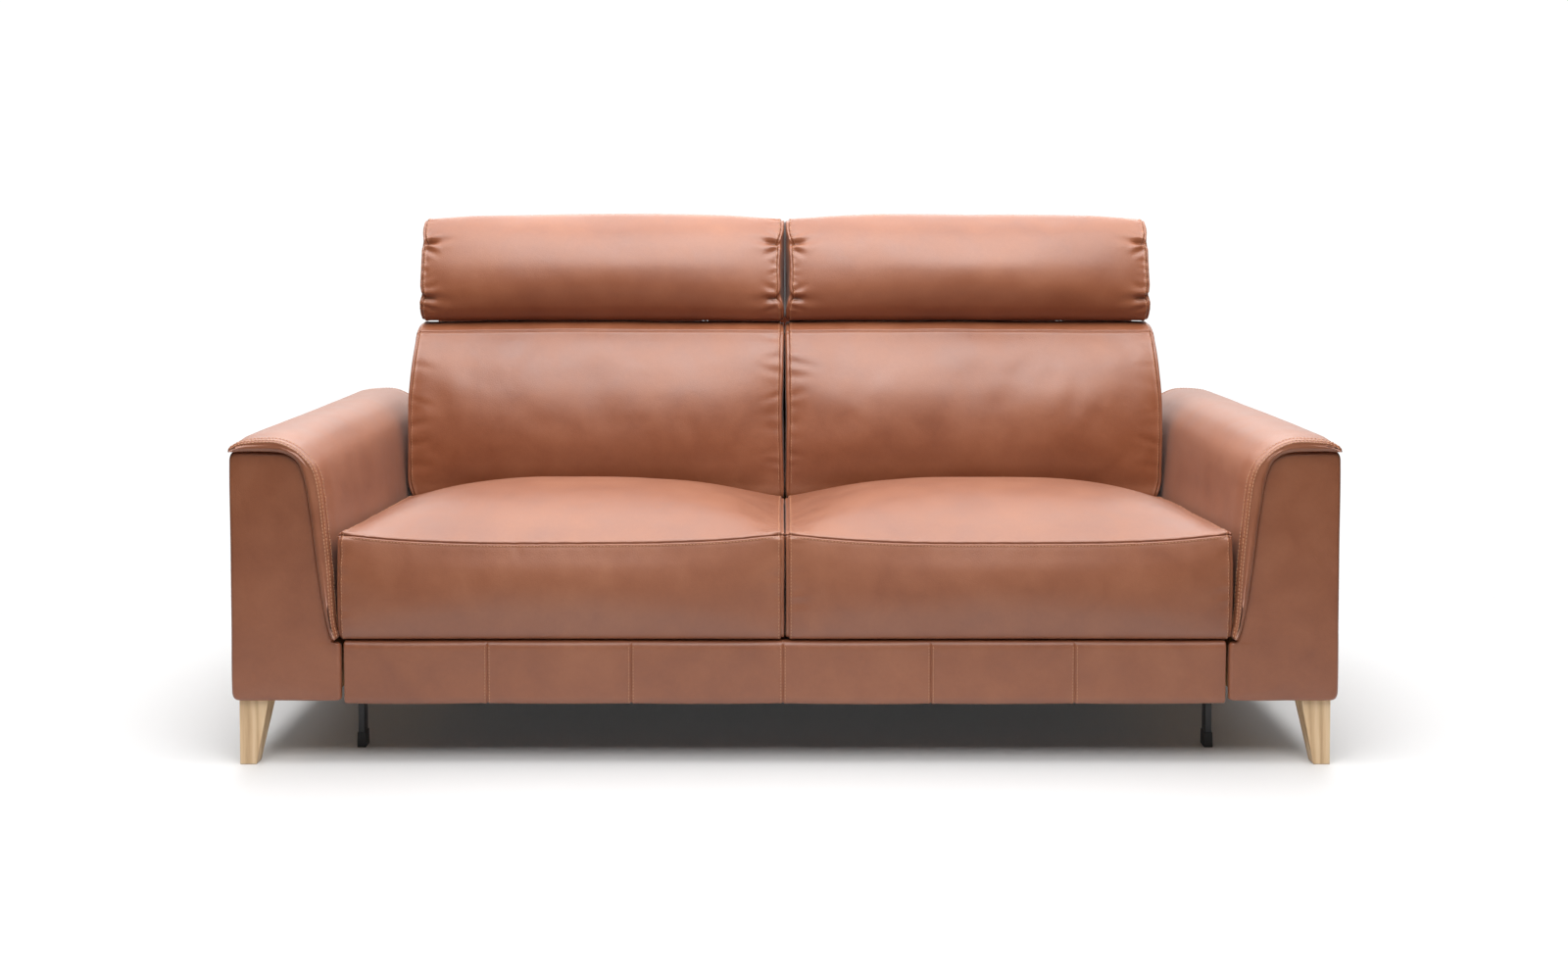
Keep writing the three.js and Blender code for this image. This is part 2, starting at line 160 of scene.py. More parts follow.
def leather(name, dark, mid, light, rough=(0.42, 0.53)):
    m, nt, b = new_mat(name)
    v = coords(nt)
    big = noise_tex(nt, v, 4.2, 3.0, 0.55)
    patch = noise_tex(nt, v, 17.0, 4.0, 0.6, 0.4)
    fine = noise_tex(nt, v, 130.0, 3.0, 0.6)
    mixf = math_n(nt, "ADD", math_n(nt, "MULTIPLY", big, 0.55), math_n(nt, "MULTIPLY", patch, 0.45))
    col = ramp(nt, mixf, [(0.22, dark), (0.5, mid), (0.78, light)])
    col = mix_col(nt, 0.16, col, ramp(nt, fine, [(0.3, 0.42), (0.7, 0.62)]), "OVERLAY")
    # pebbled grain: cells of about 1.5 mm, deeper in the creases between them
    warp = nt.nodes.new("ShaderNodeVectorMath")
    warp.operation = "MULTIPLY_ADD"
    wn = nt.nodes.new("ShaderNodeTexNoise")
    wn.inputs["Scale"].default_value = 260.0
    wn.inputs["Detail"].default_value = 2.0
    nt.links.new(v, wn.inputs["Vector"])
    nt.links.new(wn.outputs["Color"], warp.inputs[0])
    warp.inputs[1].default_value = (0.0011, 0.0011, 0.0011)
    nt.links.new(v, warp.inputs[2])
    vor = nt.nodes.new("ShaderNodeTexVoronoi")
    vor.feature = "SMOOTH_F1"
    vor.inputs["Scale"].default_value = 620.0
    vor.inputs["Smoothness"].default_value = 0.35
    nt.links.new(warp.outputs[0], vor.inputs["Vector"])
    pore = noise_tex(nt, v, 1500.0, 2.0, 0.5)
    grain = math_n(nt, "SUBTRACT", math_n(nt, "MULTIPLY", pore, 0.35), vor.outputs["Distance"])
    col = mix_col(nt, math_n(nt, "MULTIPLY", vor.outputs["Distance"], 0.16), col, dark)
    nt.links.new(col, b.inputs["Base Color"])
    soft = noise_tex(nt, v, 26.0, 3.0, 0.5, 0.3)
    n1 = bump(nt, soft, 0.32, 0.0016)
    n2 = bump(nt, grain, 0.42, 0.00042, n1)
    nt.links.new(n2, b.inputs["Normal"])
    rr = nt.nodes.new("ShaderNodeMapRange")
    rr.inputs["From Min"].default_value = 0.3
    rr.inputs["From Max"].default_value = 0.7
    rr.inputs["To Min"].default_value = rough[0]
    rr.inputs["To Max"].default_value = rough[1]
    nt.links.new(patch, rr.inputs["Value"])
    nt.links.new(rr.outputs[0], b.inputs["Roughness"])
    b.inputs["IOR"].default_value = 1.5
    b.inputs["Specular IOR Level"].default_value = 0.62
    b.inputs["Coat Weight"].default_value = 0.48
    b.inputs["Coat Roughness"].default_value = 0.44
    b.inputs["Sheen Weight"].default_value = 0.10
    b.inputs["Sheen Roughness"].default_value = 0.4
    return m


def wood(name, dark, mid, light, rough=0.42, along=2, coarse=1.0, coat=0.12):
    m, nt, b = new_mat(name)
    sc = [1.0, 1.0, 1.0]
    sc[along] = 0.055
    v = coords(nt, tuple(sc))
    vs = coords(nt)
    rings = noise_tex(nt, v, 34.0 * coarse, 3.0, 0.55, 1.3)
    streak = noise_tex(nt, v, 330.0 * coarse, 3.0, 0.65)
    wv = nt.nodes.new("ShaderNodeTexWave")
    wv.wave_type = "BANDS"
    wv.bands_direction = "DIAGONAL"
    wv.inputs["Scale"].default_value = 26.0 * coarse
    wv.inputs["Distortion"].default_value = 7.0
    wv.inputs["Detail"].default_value = 3.0
    wv.inputs["Detail Scale"].default_value = 1.2
    nt.links.new(v, wv.inputs["Vector"])
    f = math_n(nt, "ADD", math_n(nt, "MULTIPLY", rings, 0.5), math_n(nt, "MULTIPLY", wv.outputs["Fac"], 0.28))
    f = math_n(nt, "ADD", f, math_n(nt, "MULTIPLY", streak, 0.26))
    col = ramp(nt, f, [(0.3, dark), (0.52, mid), (0.74, light)])
    blot = noise_tex(nt, vs, 9.0, 2.0)
    col = mix_col(nt, 0.10, col, ramp(nt, blot, [(0.3, 0.4), (0.7, 0.62)]), "OVERLAY")
    nt.links.new(col, b.inputs["Base Color"])
    nt.links.new(bump(nt, streak, 0.22, 0.00035), b.inputs["Normal"])
    rr = nt.nodes.new("ShaderNodeMapRange")
    rr.inputs["To Min"].default_value = rough - 0.06
    rr.inputs["To Max"].default_value = rough + 0.10
    nt.links.new(streak, rr.inputs["Value"])
    nt.links.new(rr.outputs[0], b.inputs["Roughness"])
    b.inputs["Coat Weight"].default_value = coat
    b.inputs["Coat Roughness"].default_value = 0.25
    return m


def metal(name, col, rough, metallic, speck=0.1, scale=420.0, stretch=(1, 1, 1), bumpd=0.00012):
    m, nt, b = new_mat(name)
    v = coords(nt, stretch)
    n = noise_tex(nt, v, scale, 4.0, 0.6)
    big = noise_tex(nt, coords(nt), 22.0, 3.0, 0.5)
    lo = tuple(c * (1 - speck) for c in col)
    hi = tuple(min(1.0, c * (1 + speck)) for c in col)
    nt.links.new(ramp(nt, math_n(nt, "ADD", math_n(nt, "MULTIPLY", n, 0.5), math_n(nt, "MULTIPLY", big, 0.5)),
                      [(0.35, lo), (0.65, hi)]), b.inputs["Base Color"])
    rr = nt.nodes.new("ShaderNodeMapRange")
    rr.inputs["To Min"].default_value = max(0.02, rough - 0.08)
    rr.inputs["To Max"].default_value = rough + 0.1
    nt.links.new(n, rr.inputs["Value"])
    nt.links.new(rr.outputs[0], b.inputs["Roughness"])
    b.inputs["Metallic"].default_value = metallic
    nt.links.new(bump(nt, n, 0.25, bumpd), b.inputs["Normal"])
    return m


def cloth_mat(name, col):
    m, nt, b = new_mat(name)
    v = coords(nt)
    n = noise_tex(nt, v, 900.0, 3.0, 0.7)
    w = nt.nodes.new("ShaderNodeTexVoronoi")
    w.inputs["Scale"].default_value = 480.0
    nt.links.new(v, w.inputs["Vector"])
    nt.links.new(ramp(nt, n, [(0.3, tuple(c * 0.6 for c in col)), (0.7, tuple(c * 1.5 for c in col))]), b.inputs["Base Color"])
    b.inputs["Roughness"].default_value = 0.92
    b.inputs["Sheen Weight"].default_value = 0.25
    nt.links.new(bump(nt, w.outputs["Distance"], 0.5, 0.0004), b.inputs["Normal"])
    return m


def thread_mat(name, col):
    m, nt, b = new_mat(name)
    v = coords(nt)
    n = noise_tex(nt, v, 1800.0, 2.0, 0.6)
    nt.links.new(ramp(nt, n, [(0.3, tuple(c * 0.75 for c in col)), (0.7, tuple(min(1, c * 1.2) for c in col))]), b.inputs["Base Color"])
    b.inputs["Roughness"].default_value = 0.6
    nt.links.new(bump(nt, n, 0.4, 0.0002), b.inputs["Normal"])
    return m


LEATHER = leather("tan_leather", (0.190, 0.051, 0.017), (0.252, 0.077, 0.028), (0.310, 0.106, 0.043))
THREAD = thread_mat("seam_thread", (0.52, 0.27, 0.15))
ASH = wood("pale_ash", (0.50, 0.315, 0.165), (0.66, 0.46, 0.265), (0.75, 0.56, 0.35))
PINE = wood("frame_pine", (0.42, 0.235, 0.10), (0.56, 0.36, 0.17), (0.66, 0.45, 0.24), 0.62, 0, 0.8, 0.0)
PLY = wood("plywood_board", (0.36, 0.20, 0.085), (0.47, 0.285, 0.13), (0.55, 0.35, 0.18), 0.66, 2, 0.6, 0.0)
BLACK = metal("black_powder_coat", (0.012, 0.012, 0.014), 0.38, 0.0, 0.3)
PLASTIC = metal("black_plastic_boot", (0.010, 0.010, 0.011), 0.52, 0.0, 0.25, 700.0)
ZINC = metal("zinc_plate", (0.55, 0.55, 0.57), 0.34, 1.0, 0.16, 260.0)
SPRING = metal("oiled_spring_wire", (0.16, 0.16, 0.17), 0.36, 1.0, 0.25, 500.0)
DUST = cloth_mat("dust_cloth", (0.013, 0.013, 0.014))

SLOT_MAT = {"leather": LEATHER, "leg_wood": ASH, "frame_wood": PINE, "plywood": PLY, "black_steel": BLACK,
            "black_plastic": PLASTIC, "zinc_steel": ZINC, "spring_steel": SPRING, "dust_cloth": DUST}
for part in frame["record"]["subparts"]:
    obj = NODES.get(part["node"])
    if obj is None:
        continue
    if not obj.material_slots:
        obj.data.materials.append(SLOT_MAT[part["material_slot"]])
    for s in obj.material_slots:
        s.material = SLOT_MAT[part["material_slot"]]


# =====================================================================================
# mesh helpers (all shapes are worked out in millimetres from the arms' front face)
# =====================================================================================
def to_row(p):
    q = np.array(p, dtype=float)
    q[..., 1] -= OFF
    return q * 0.001


def make_object(name, verts_m, faces, mat, smooth=True, extra_mats=(), face_mat=None):
    me = bpy.data.meshes.new(name)
    me.from_pydata([tuple(v) for v in verts_m], [], [tuple(f) for f in faces])
    me.materials.append(mat)
    for m in extra_mats:
        me.materials.append(m)
    if face_mat is not None:
        me.polygons.foreach_set("material_index", face_mat)
    bm = bmesh.new()
    bm.from_mesh(me)
    bmesh.ops.recalc_face_normals(bm, faces=bm.faces)
    bm.to_mesh(me)
    bm.free()
    me.polygons.foreach_set("use_smooth", [smooth] * len(me.polygons))
    me.validate()
    ob = bpy.data.objects.new(name, me)
    bpy.context.scene.collection.objects.link(ob)
    return ob


def smoothstep(x):
    x = np.clip(x, 0.0, 1.0)
    return x * x * (3 - 2 * x)


def hermite_closed(ctrl, v):
    """Smooth closed curve through ctrl (..., K, 2), evaluated at v in [0, K)."""
    K = ctrl.shape[-2]
    nxt = np.roll(ctrl, -1, axis=-2)
    h = np.linalg.norm(nxt - ctrl, axis=-1, keepdims=True) + 1e-9      # K: from i to i+1
    hp = np.roll(h, 1, axis=-2)
    m = (nxt - np.roll(ctrl, 1, axis=-2)) / (h + hp)
    i = np.floor(v).astype(int) % K
    t = (v - np.floor(v))[:, None]
    j = (i + 1) % K
    p0, p1 = ctrl[..., i, :], ctrl[..., j, :]
    m0, m1, hh = m[..., i, :], m[..., j, :], h[..., i, :]
    t2, t3 = t * t, t * t * t
    return (2 * t3 - 3 * t2 + 1) * p0 + (t3 - 2 * t2 + t) * hh * m0 + (-2 * t3 + 3 * t2) * p1 + (t3 - t2) * hh * m1


def graded(total, step, marks, fine=1.2, core=5.0, spread=16.0, closed=False, coarse=()):
    """Positions along a length, closer together at the marks; coarse = (from, to, step) ranges."""
    s = np.linspace(0, total, 8000)
    h = np.full_like(s, step)
    for a, b, st in coarse:
        inside = smoothstep((s - a) / 20.0) * smoothstep((b - s) / 20.0)
        h = h + (st - h) * inside
    if len(marks):
        d = np.full_like(s, 1e9)
        for m in marks:
            dm = np.abs(s - m)
            if closed:
                dm = np.minimum(dm, total - dm)
            d = np.minimum(d, dm)
        h = fine + (h - fine) * smoothstep((d - core) / spread)
    cum = np.concatenate([[0], np.cumsum((1 / h[1:] + 1 / h[:-1]) / 2 * np.diff(s))])
    n = max(8, int(math.ceil(cum[-1])))
    return np.interp(np.linspace(0, cum[-1], n + 1), cum, s)[: (n if closed else n + 1)]


def bspline_weights(x_new, x_old, closed=False, period=None):
    """Cubic B-spline weights on an even grid x_old, for a smooth carry-over of coarse data."""
    n = len(x_old)
    step = (x_old[1] - x_old[0])
    W = np.zeros((len(x_new), n))
    f = (np.asarray(x_new) - x_old[0]) / step
    i = np.floor(f).astype(int)
    t = f - i
    w = np.stack([(1 - t) ** 3 / 6, (3 * t ** 3 - 6 * t ** 2 + 4) / 6, (-3 * t ** 3 + 3 * t ** 2 + 3 * t + 1) / 6, t ** 3 / 6], 1)
    for k in range(4):
        idx = i + k - 1
        idx = idx % n if closed else np.clip(idx, 0, n - 1)
        np.add.at(W, (np.arange(len(f)), idx), w[:, k])
    return W


def noise2(u, v, cell_u, cell_v, seed, closed_len=None):
    """Smooth random field on a (len(u), len(v)) grid, roughly -1 to 1."""
    r = rng_of(seed)
    gu = np.arange(u.min() - 2 * cell_u, u.max() + 3 * cell_u, cell_u)
    if closed_len:
        nv = max(4, int(round(closed_len / cell_v)))
        gv = np.arange(nv) * (closed_len / nv)
        Wv = bspline_weights(v, gv, True)
    else:
        gv = np.arange(v.min() - 2 * cell_v, v.max() + 3 * cell_v, cell_v)
        Wv = bspline_weights(v, gv)
    g = r.uniform(-1, 1, (len(gu), len(gv)))
    return 1.5 * bspline_weights(u, gu) @ g @ Wv.T


def grid_normals(P, closed_v=True):
    du = np.gradient(P, axis=0)
    if closed_v:
        dv = (np.roll(P, -1, axis=1) - np.roll(P, 1, axis=1)) / 2
    else:
        dv = np.gradient(P, axis=1)
    n = np.cross(du, dv)
    return n / (np.linalg.norm(n, axis=-1, keepdims=True) + 1e-12)


class Loft:
    """A closed soft body: a ring swept along one axis, with rounded sewn ends.

    u runs across the body in mm (end panel, rounded edge, body, rounded edge, end panel),
    v runs round the ring in mm, measured on the middle ring."""

    def __init__(self, a, b, ctrl, medial, r=14.0, cap=50.0, bulge=0.0, axis="x", mirror=False):
        self.a, self.b, self.ctrl, self.medial = a, b, ctrl, medial
        self.r, self.cap, self.bulge, self.axis, self.mirror = r, cap, bulge, axis, mirror
        c, q = cap - r, math.pi / 2 * r
        L = b - a - 2 * r - 2 * bulge
        self.U = np.cumsum([0, c, q, L, q, c])
        self.Lu = self.U[-1]
        mid = self.ctrl(np.array([0.0]))[0]
        K = len(mid)
        vv = np.linspace(0, K, 6000, endpoint=False)
        ring = hermite_closed(mid, vv)
        d = np.linalg.norm(np.roll(ring, -1, axis=0) - ring, axis=1)
        self.cum = np.concatenate([[0], np.cumsum(d)])
        self.vv = np.append(vv, K)
        self.Lv = self.cum[-1]
        self.K = K

    def v_of(self, k):                     # length round the ring at control point k
        return float(np.interp(k % self.K, self.vv, self.cum))

    def edge(self, which, frac=0.5):       # u of the seam on a rounded edge
        U = self.U
        return U[1] + (U[2] - U[1]) * (1 - frac) if which == 0 else U[3] + (U[4] - U[3]) * frac

    def section(self, u):
        U, r, B = self.U, self.r, self.bulge
        x = np.zeros_like(u)
        ins = np.zeros_like(u)
        c = self.cap - r
        for i, uu in enumerate(u):
            if uu < U[1]:
                k = uu / c if c > 0 else 1
                ins[i] = self.cap - uu
                x[i] = self.a + B * (1 - math.sin(math.pi / 2 * (1 - k)))
            elif uu < U[2]:
                th = (uu - U[1]) / r
                x[i] = self.a + B + r * (1 - math.cos(th))
                ins[i] = r * (1 - math.sin(th))
            elif uu <= U[3]:
                x[i] = self.a + B + r + (uu - U[2])
            elif uu < U[4]:
                th = (uu - U[3]) / r
                x[i] = self.b - B - r + r * math.sin(th)
                ins[i] = r * (1 - math.cos(th))
            else:
                k = (U[5] - uu) / c if c > 0 else 1
                ins[i] = r + (uu - U[4])
                x[i] = self.b - B * (1 - math.sin(math.pi / 2 * (1 - k)))
        return x, ins

    def points(self, u, v, shift=None):
        x, ins = self.section(u)
        t = (2 * x - (self.a + self.b)) / (self.b - self.a)
        vk = np.interp(v, self.cum, self.vv)
        C = self.ctrl(t)
        ring = hermite_closed(C, vk)
        M = hermite_closed(self.medial(t), vk) if callable(self.medial) else None
        d = M - ring
        dist = np.linalg.norm(d, axis=-1, keepdims=True) + 1e-9
        k = np.minimum(ins[:, None, None], 0.9 * dist) / dist
        ring = ring + d * k
        X = np.repeat(x[:, None], len(v), axis=1)
        if shift is not None:
            X = X + shift(u, v, ring)
        if self.axis == "x":
            P = np.stack([X, ring[..., 0], ring[..., 1]], -1)
        elif self.axis == "y":
            P = np.stack([ring[..., 0], X, ring[..., 1]], -1)
        else:
            P = np.stack([ring[..., 0], ring[..., 1], X], -1)
        if self.mirror:
            P[..., 0] *= -1
        return P


def loft_mesh(name, P, mat, close_ends=True):
    n, m = P.shape[:2]
    idx = np.arange(n * m).reshape(n, m)
    a, b = idx[:-1], idx[1:]
    faces = np.stack([a, np.roll(a, -1, 1), np.roll(b, -1, 1), b], -1).reshape(-1, 4).tolist()
    if close_ends:
        faces.append(list(reversed(idx[0].tolist())))
        faces.append(idx[-1].tolist())
    return make_object(name, to_row(P.reshape(-1, 3)), faces, mat)


def outward(P):
    """Normals of a lofted grid, turned so that they point out of the body."""
    N = grid_normals(P)
    c = P.reshape(-1, 3).mean(0)
    mid = P.shape[0] // 2
    ring = P[mid]
    rc = ring.mean(0)
    # signed by the ring's own area direction: robust for bodies that are not convex
    s = np.sign(np.sum(np.sum((ring - rc) * N[mid], -1)))
    return N * (s if s != 0 else 1)


def gauss(d, w):
    return np.exp(-(d / w) ** 2)


def seam_profile(d, depth=2.2, w=1.7, lip=0.7, lipw=4.5, puff=0.0, puffw=22.0):
    """Narrow sewn groove with a soft lip on both sides."""
    return -depth * gauss(d, w) + lip * (gauss(np.abs(d) - lipw, 3.0)) + puff * (1 - gauss(d, puffw))


def stroke_field(u, v, strokes, Lv=None):
    """Sum of crease strokes: (u0, v0, du, dv, length, width, depth). Negative is inward."""
    out = np.zeros((len(u), len(v)))
    for (u0, v0, du, dv, L, w, A) in strokes:
        n = math.hypot(du, dv)
        du, dv = du / n, dv / n
        R = L + 3 * w
        ui = np.where(np.abs(u - u0) < R)[0]
        dvv = v - v0
        if Lv:
            dvv = (dvv + Lv / 2) % Lv - Lv / 2
        vi = np.where(np.abs(dvv) < R)[0]
        if len(ui) == 0 or len(vi) == 0:
            continue
        U = (u[ui] - u0)[:, None]
        V = dvv[vi][None, :]
        along = U * du + V * dv
        # a slight bend along the way
        across = -U * dv + V * du + 0.12 * w * np.sin(along / L * 3.0)
        env = smoothstep(along / (0.18 * L) + 0.6) * smoothstep((L - along) / (0.8 * L))
        prof = -gauss(across, w) + 0.42 * gauss(np.abs(across) - 1.9 * w, 1.1 * w)
        out[np.ix_(ui, vi)] += A * env * prof
    return out


def puckers(seed, along, at, span, side, gap=(18, 42), length=(14, 46), width=(3.2, 6.5), depth=(0.35, 1.1), tilt=0.35):
    """Short creases that leave a seam. along: 'u' for a seam at v=at running over u, or 'v'."""
    r = rng_of(seed)
    res, s = [], span[0]
    while s < span[1]:
        s += r.uniform(*gap)
        sgn = side if side else (1 if r.random() > 0.5 else -1)
        tl = r.uniform(-tilt, tilt)
        L, w, A = r.uniform(*length), r.uniform(*width), r.uniform(*depth)
        if along == "u":
            res.append((s, at, tl, sgn, L, w, A))
        else:
            res.append((at, s, sgn, tl, L, w, A))
    return res


# ---------------------------------------------------------------- stitches
_ST = None


def stitch_template():
    """One thread stitch along +X, unit length, unit radius."""
    global _ST
    if _ST is None:
        prof = [(-0.5, 0.0), (-0.46, 0.55), (-0.33, 0.92), (0.0, 1.0), (0.33, 0.92), (0.46, 0.55), (0.5, 0.0)]
        k = 6
        V, F = [(prof[0][0], 0, 0)], []
        for x, r in prof[1:-1]:
            for j in range(k):
                a = 2 * math.pi * j / k
                V.append((x, r * math.cos(a), r * math.sin(a)))
        V.append((prof[-1][0], 0, 0))
        for j in range(k):
            F.append((0, 1 + (j + 1) % k, 1 + j))
            for i in range(len(prof) - 3):
                a, b = 1 + i * k + j, 1 + i * k + (j + 1) % k
                F.append((a, b, b + k, a + k))
            o = 1 + (len(prof) - 3) * k
            F.append((o + j, o + (j + 1) % k, len(V) - 1))
        _ST = (np.array(V), F)
    return _ST


def stitch_row(paths, pitch=6.0, length=4.3, radius=0.55, lift=0.15):
    """paths: list of (points (n,3) mm, normals (n,3)). Returns verts (mm) and faces."""
    T, F = stitch_template()
    VV, FF, base = [], [], 0
    for pts, nrm in paths:
        seg = np.linalg.norm(np.diff(pts, axis=0), axis=1)
        cum = np.concatenate([[0], np.cumsum(seg)])
        n = int(cum[-1] // pitch)
        if n < 1:
            continue
        s = (np.arange(n) + 0.5) * (cum[-1] / n)
        for si in s:
            a = np.array([np.interp(si - length / 2, cum, pts[:, k]) for k in range(3)])
            b = np.array([np.interp(si + length / 2, cum, pts[:, k]) for k in range(3)])
            nn = np.array([np.interp(si, cum, nrm[:, k]) for k in range(3)])
            x = b - a
            L = np.linalg.norm(x)
            if L < 1e-6:
                continue
            x /= L
            nn -= x * np.dot(nn, x)
            nn /= np.linalg.norm(nn) + 1e-12
            y = np.cross(nn, x)
            c = (a + b) / 2 + nn * lift
            VV.append(c + np.outer(T[:, 0] * length, x) + np.outer(T[:, 1] * radius, y) + np.outer(T[:, 2] * radius, nn))
            FF.extend([tuple(i + base for i in f) for f in F])
            base += len(T)
    return (np.concatenate(VV) if VV else np.zeros((0, 3))), FF


def grid_path(P, N, u, v, pu, pv, Lv=None):
    """Sample the surface grid along given (pu, pv) parameter points (bilinear)."""
    iu = np.interp(pu, u, np.arange(len(u)))
    if Lv:
        ve = np.append(v, Lv)
        iv = np.interp(np.mod(pv, Lv), ve, np.arange(len(ve)))
    else:
        iv = np.interp(pv, v, np.arange(len(v)))
    i0 = np.clip(np.floor(iu).astype(int), 0, len(u) - 2)
    j0 = np.floor(iv).astype(int) % P.shape[1]
    j1 = (j0 + 1) % P.shape[1]
    fu, fv = (iu - i0)[:, None], (iv - np.floor(iv))[:, None]

    def samp(G):
        return (G[i0, j0] * (1 - fu) * (1 - fv) + G[i0 + 1, j0] * fu * (1 - fv)
                + G[i0, j1] * (1 - fu) * fv + G[i0 + 1, j1] * fu * fv)
    return samp(P), samp(N)


def stitches_object(name, paths, body, host=None, **kw):
    V, F = stitch_row(paths, **kw)
    if len(V) == 0:
        return None
    ob = make_object(name, to_row(V), F, THREAD)
    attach(ob, body)
    return ob


# ---------------------------------------------------------------- cloth
def swell(P_of, loft, pin_of, step=10.0, pressure=4.0, shrink=-0.018, cap=22.0, frames=20, name="swell", bend=2.5, calm=0):
    """Simulate a coarse copy of the body as a filled cover; returns (u, v, displacement) on its even grid."""
    u = np.linspace(0, loft.Lu, max(12, int(round(loft.Lu / step))) + 1)
    nv = max(16, int(round(loft.Lv / step)))
    v = np.arange(nv) * (loft.Lv / nv)
    P = P_of(u, v)
    ob = loft_mesh(name, P, LEATHER)
    pins = pin_of(u, v)
    g = ob.vertex_groups.new(name="pin")
    flat = pins.reshape(-1)
    g.add([int(i) for i in np.where(flat > 0.5)[0]], 1.0, "REPLACE")
    mod = ob.modifiers.new("cloth", "CLOTH")
    st = mod.settings
    st.quality = 5
    st.mass = 0.35
    st.tension_stiffness = 30
    st.compression_stiffness = 30
    st.shear_stiffness = 12
    st.bending_stiffness = bend
    st.tension_damping = st.compression_damping = st.shear_damping = 10
    st.bending_damping = 0.8
    st.air_damping = 2.0
    st.use_pressure = True
    st.uniform_pressure_force = pressure
    st.shrink_min = shrink
    st.vertex_group_mass = "pin"
    st.effector_weights.gravity = 0.0
    mod.collision_settings.use_collision = False
    mod.collision_settings.use_self_collision = False
    sc = bpy.context.scene
    f0 = sc.frame_current
    for f in range(1, frames + 1):
        sc.frame_set(f)
        bpy.context.view_layer.update()
    dg = bpy.context.evaluated_depsgraph_get()
    me = ob.evaluated_get(dg).to_mesh()
    co = np.empty(len(me.vertices) * 3)
    me.vertices.foreach_get("co", co)
    ob.evaluated_get(dg).to_mesh_clear()
    co = co.reshape(-1, 3)[: P.shape[0] * P.shape[1]].reshape(P.shape)
    D = co * 1000.0 - (P - np.array([0, OFF, 0]))
    me_data = ob.data
    bpy.data.objects.remove(ob)
    bpy.data.meshes.remove(me_data)
    sc.frame_set(f0)
    L = np.linalg.norm(D, axis=-1, keepdims=True)
    D = D * np.minimum(1.0, cap / (L + 1e-9))
    D = np.nan_to_num(D)
    keep = (pins < 0.5)[..., None]
    for _ in range(calm):     # take out the finest wrinkles, the sewn lines stay where they are
        D = 0.5 * D + 0.25 * (np.roll(D, 1, 1) + np.roll(D, -1, 1))
        E = np.pad(D, ((1, 1), (0, 0), (0, 0)), mode="edge")
        D = (0.5 * D + 0.25 * (E[:-2] + E[2:])) * keep
    return u, v, D


def carry(D, uc, vc, u, v, Lv):
    Wu = bspline_weights(u, uc)
    Wv = bspline_weights(v, vc, True)
    return np.einsum("ic,cdk,jd->ijk", Wu, D, Wv)


# =====================================================================================
# camera, light and floor
# =====================================================================================
scene = bpy.context.scene
cam_data = bpy.data.cameras.new("camera")
cam = bpy.data.objects.new("camera", cam_data)
scene.collection.objects.link(cam)
scene.camera = cam
cam_data.sensor_width = 36.0
cam_data.lens = 38.55
cam_data.clip_start, cam_data.clip_end = 0.05, 60.0
PITCH = math.radians(2.1)
cam.location = (0.0, -3.461, 0.986)
cam.rotation_euler = (math.pi / 2 - PITCH, 0.0, 0.0)
cam_data.shift_y = -(0.1719 - math.tan(PITCH) * cam_data.lens / 36.0)
cam_data.shift_x = -0.0006

scene.view_settings.view_transform = "Standard"
scene.view_settings.look = "None"
scene.view_settings.exposure = 0.0

world = bpy.data.worlds.new("studio")
scene.world = world
world.use_nodes = True
wnt = world.node_tree
wnt.nodes.clear()


def world_nodes():
    """A white backdrop that lights the object only from behind."""
    out = wnt.nodes.new("ShaderNodeOutputWorld")
    white = wnt.nodes.new("ShaderNodeBackground")
    white.inputs["Color"].default_value = (1.0, 1.0, 1.0, 1.0)
    white.inputs["Strength"].default_value = 1.05
    lit = wnt.nodes.new("ShaderNodeBackground")
    tc = wnt.nodes.new("ShaderNodeTexCoord")
    sep = wnt.nodes.new("ShaderNodeSeparateXYZ")
    wnt.links.new(tc.outputs["Generated"], sep.inputs[0])
    back = ramp(wnt, math_n(wnt, "ADD", math_n(wnt, "MULTIPLY", sep.outputs["Y"], 0.5), 0.5),
                [(0.0, 0.02), (0.55, 0.02), (0.8, 0.6), (1.0, 1.0)])
    wnt.links.new(back, lit.inputs["Color"])
    lit.inputs["Strength"].default_value = 1.2
    lp = wnt.nodes.new("ShaderNodeLightPath")
    mx = wnt.nodes.new("ShaderNodeMixShader")
    wnt.links.new(lp.outputs["Is Camera Ray"], mx.inputs[0])
    wnt.links.new(lit.outputs[0], mx.inputs[1])
    wnt.links.new(white.outputs[0], mx.inputs[2])
    wnt.links.new(mx.outputs[0], out.inputs["Surface"])


world_nodes()


def area(name, loc, target, size, size_y, power, col=(1, 1, 1)):
    L = bpy.data.lights.new(name, "AREA")
    L.shape = "RECTANGLE"
    L.size, L.size_y, L.energy, L.color = size, size_y, power, col
    o = bpy.data.objects.new(name, L)
    scene.collection.objects.link(o)
    o.visible_camera = False
    o.location = loc
    d = Vector(target) - Vector(loc)
    o.rotation_euler = d.to_track_quat("-Z", "Y").to_euler()
    return o


area("overhead_box", (0.0, 0.35, 2.6), (0.0, 0.1, 0.4), 4.0, 1.8, 66.0)
area("overhead_front_box", (0.0, -0.9, 2.7), (0.0, 0.0, 0.4), 3.8, 0.8, 58.0)
area("front_top_box", (0.0, -2.3, 3.0), (0.0, 0.0, 0.6), 3.8, 1.4, 92.0)
area("rear_top_box", (0.0, 2.1, 2.3), (0.0, 0.0, 0.7), 4.0, 1.0, 34.0)
area("front_low_box", (0.0, -4.2, 1.3), (0.0, 0.0, 0.5), 3.0, 1.2, 9.0)


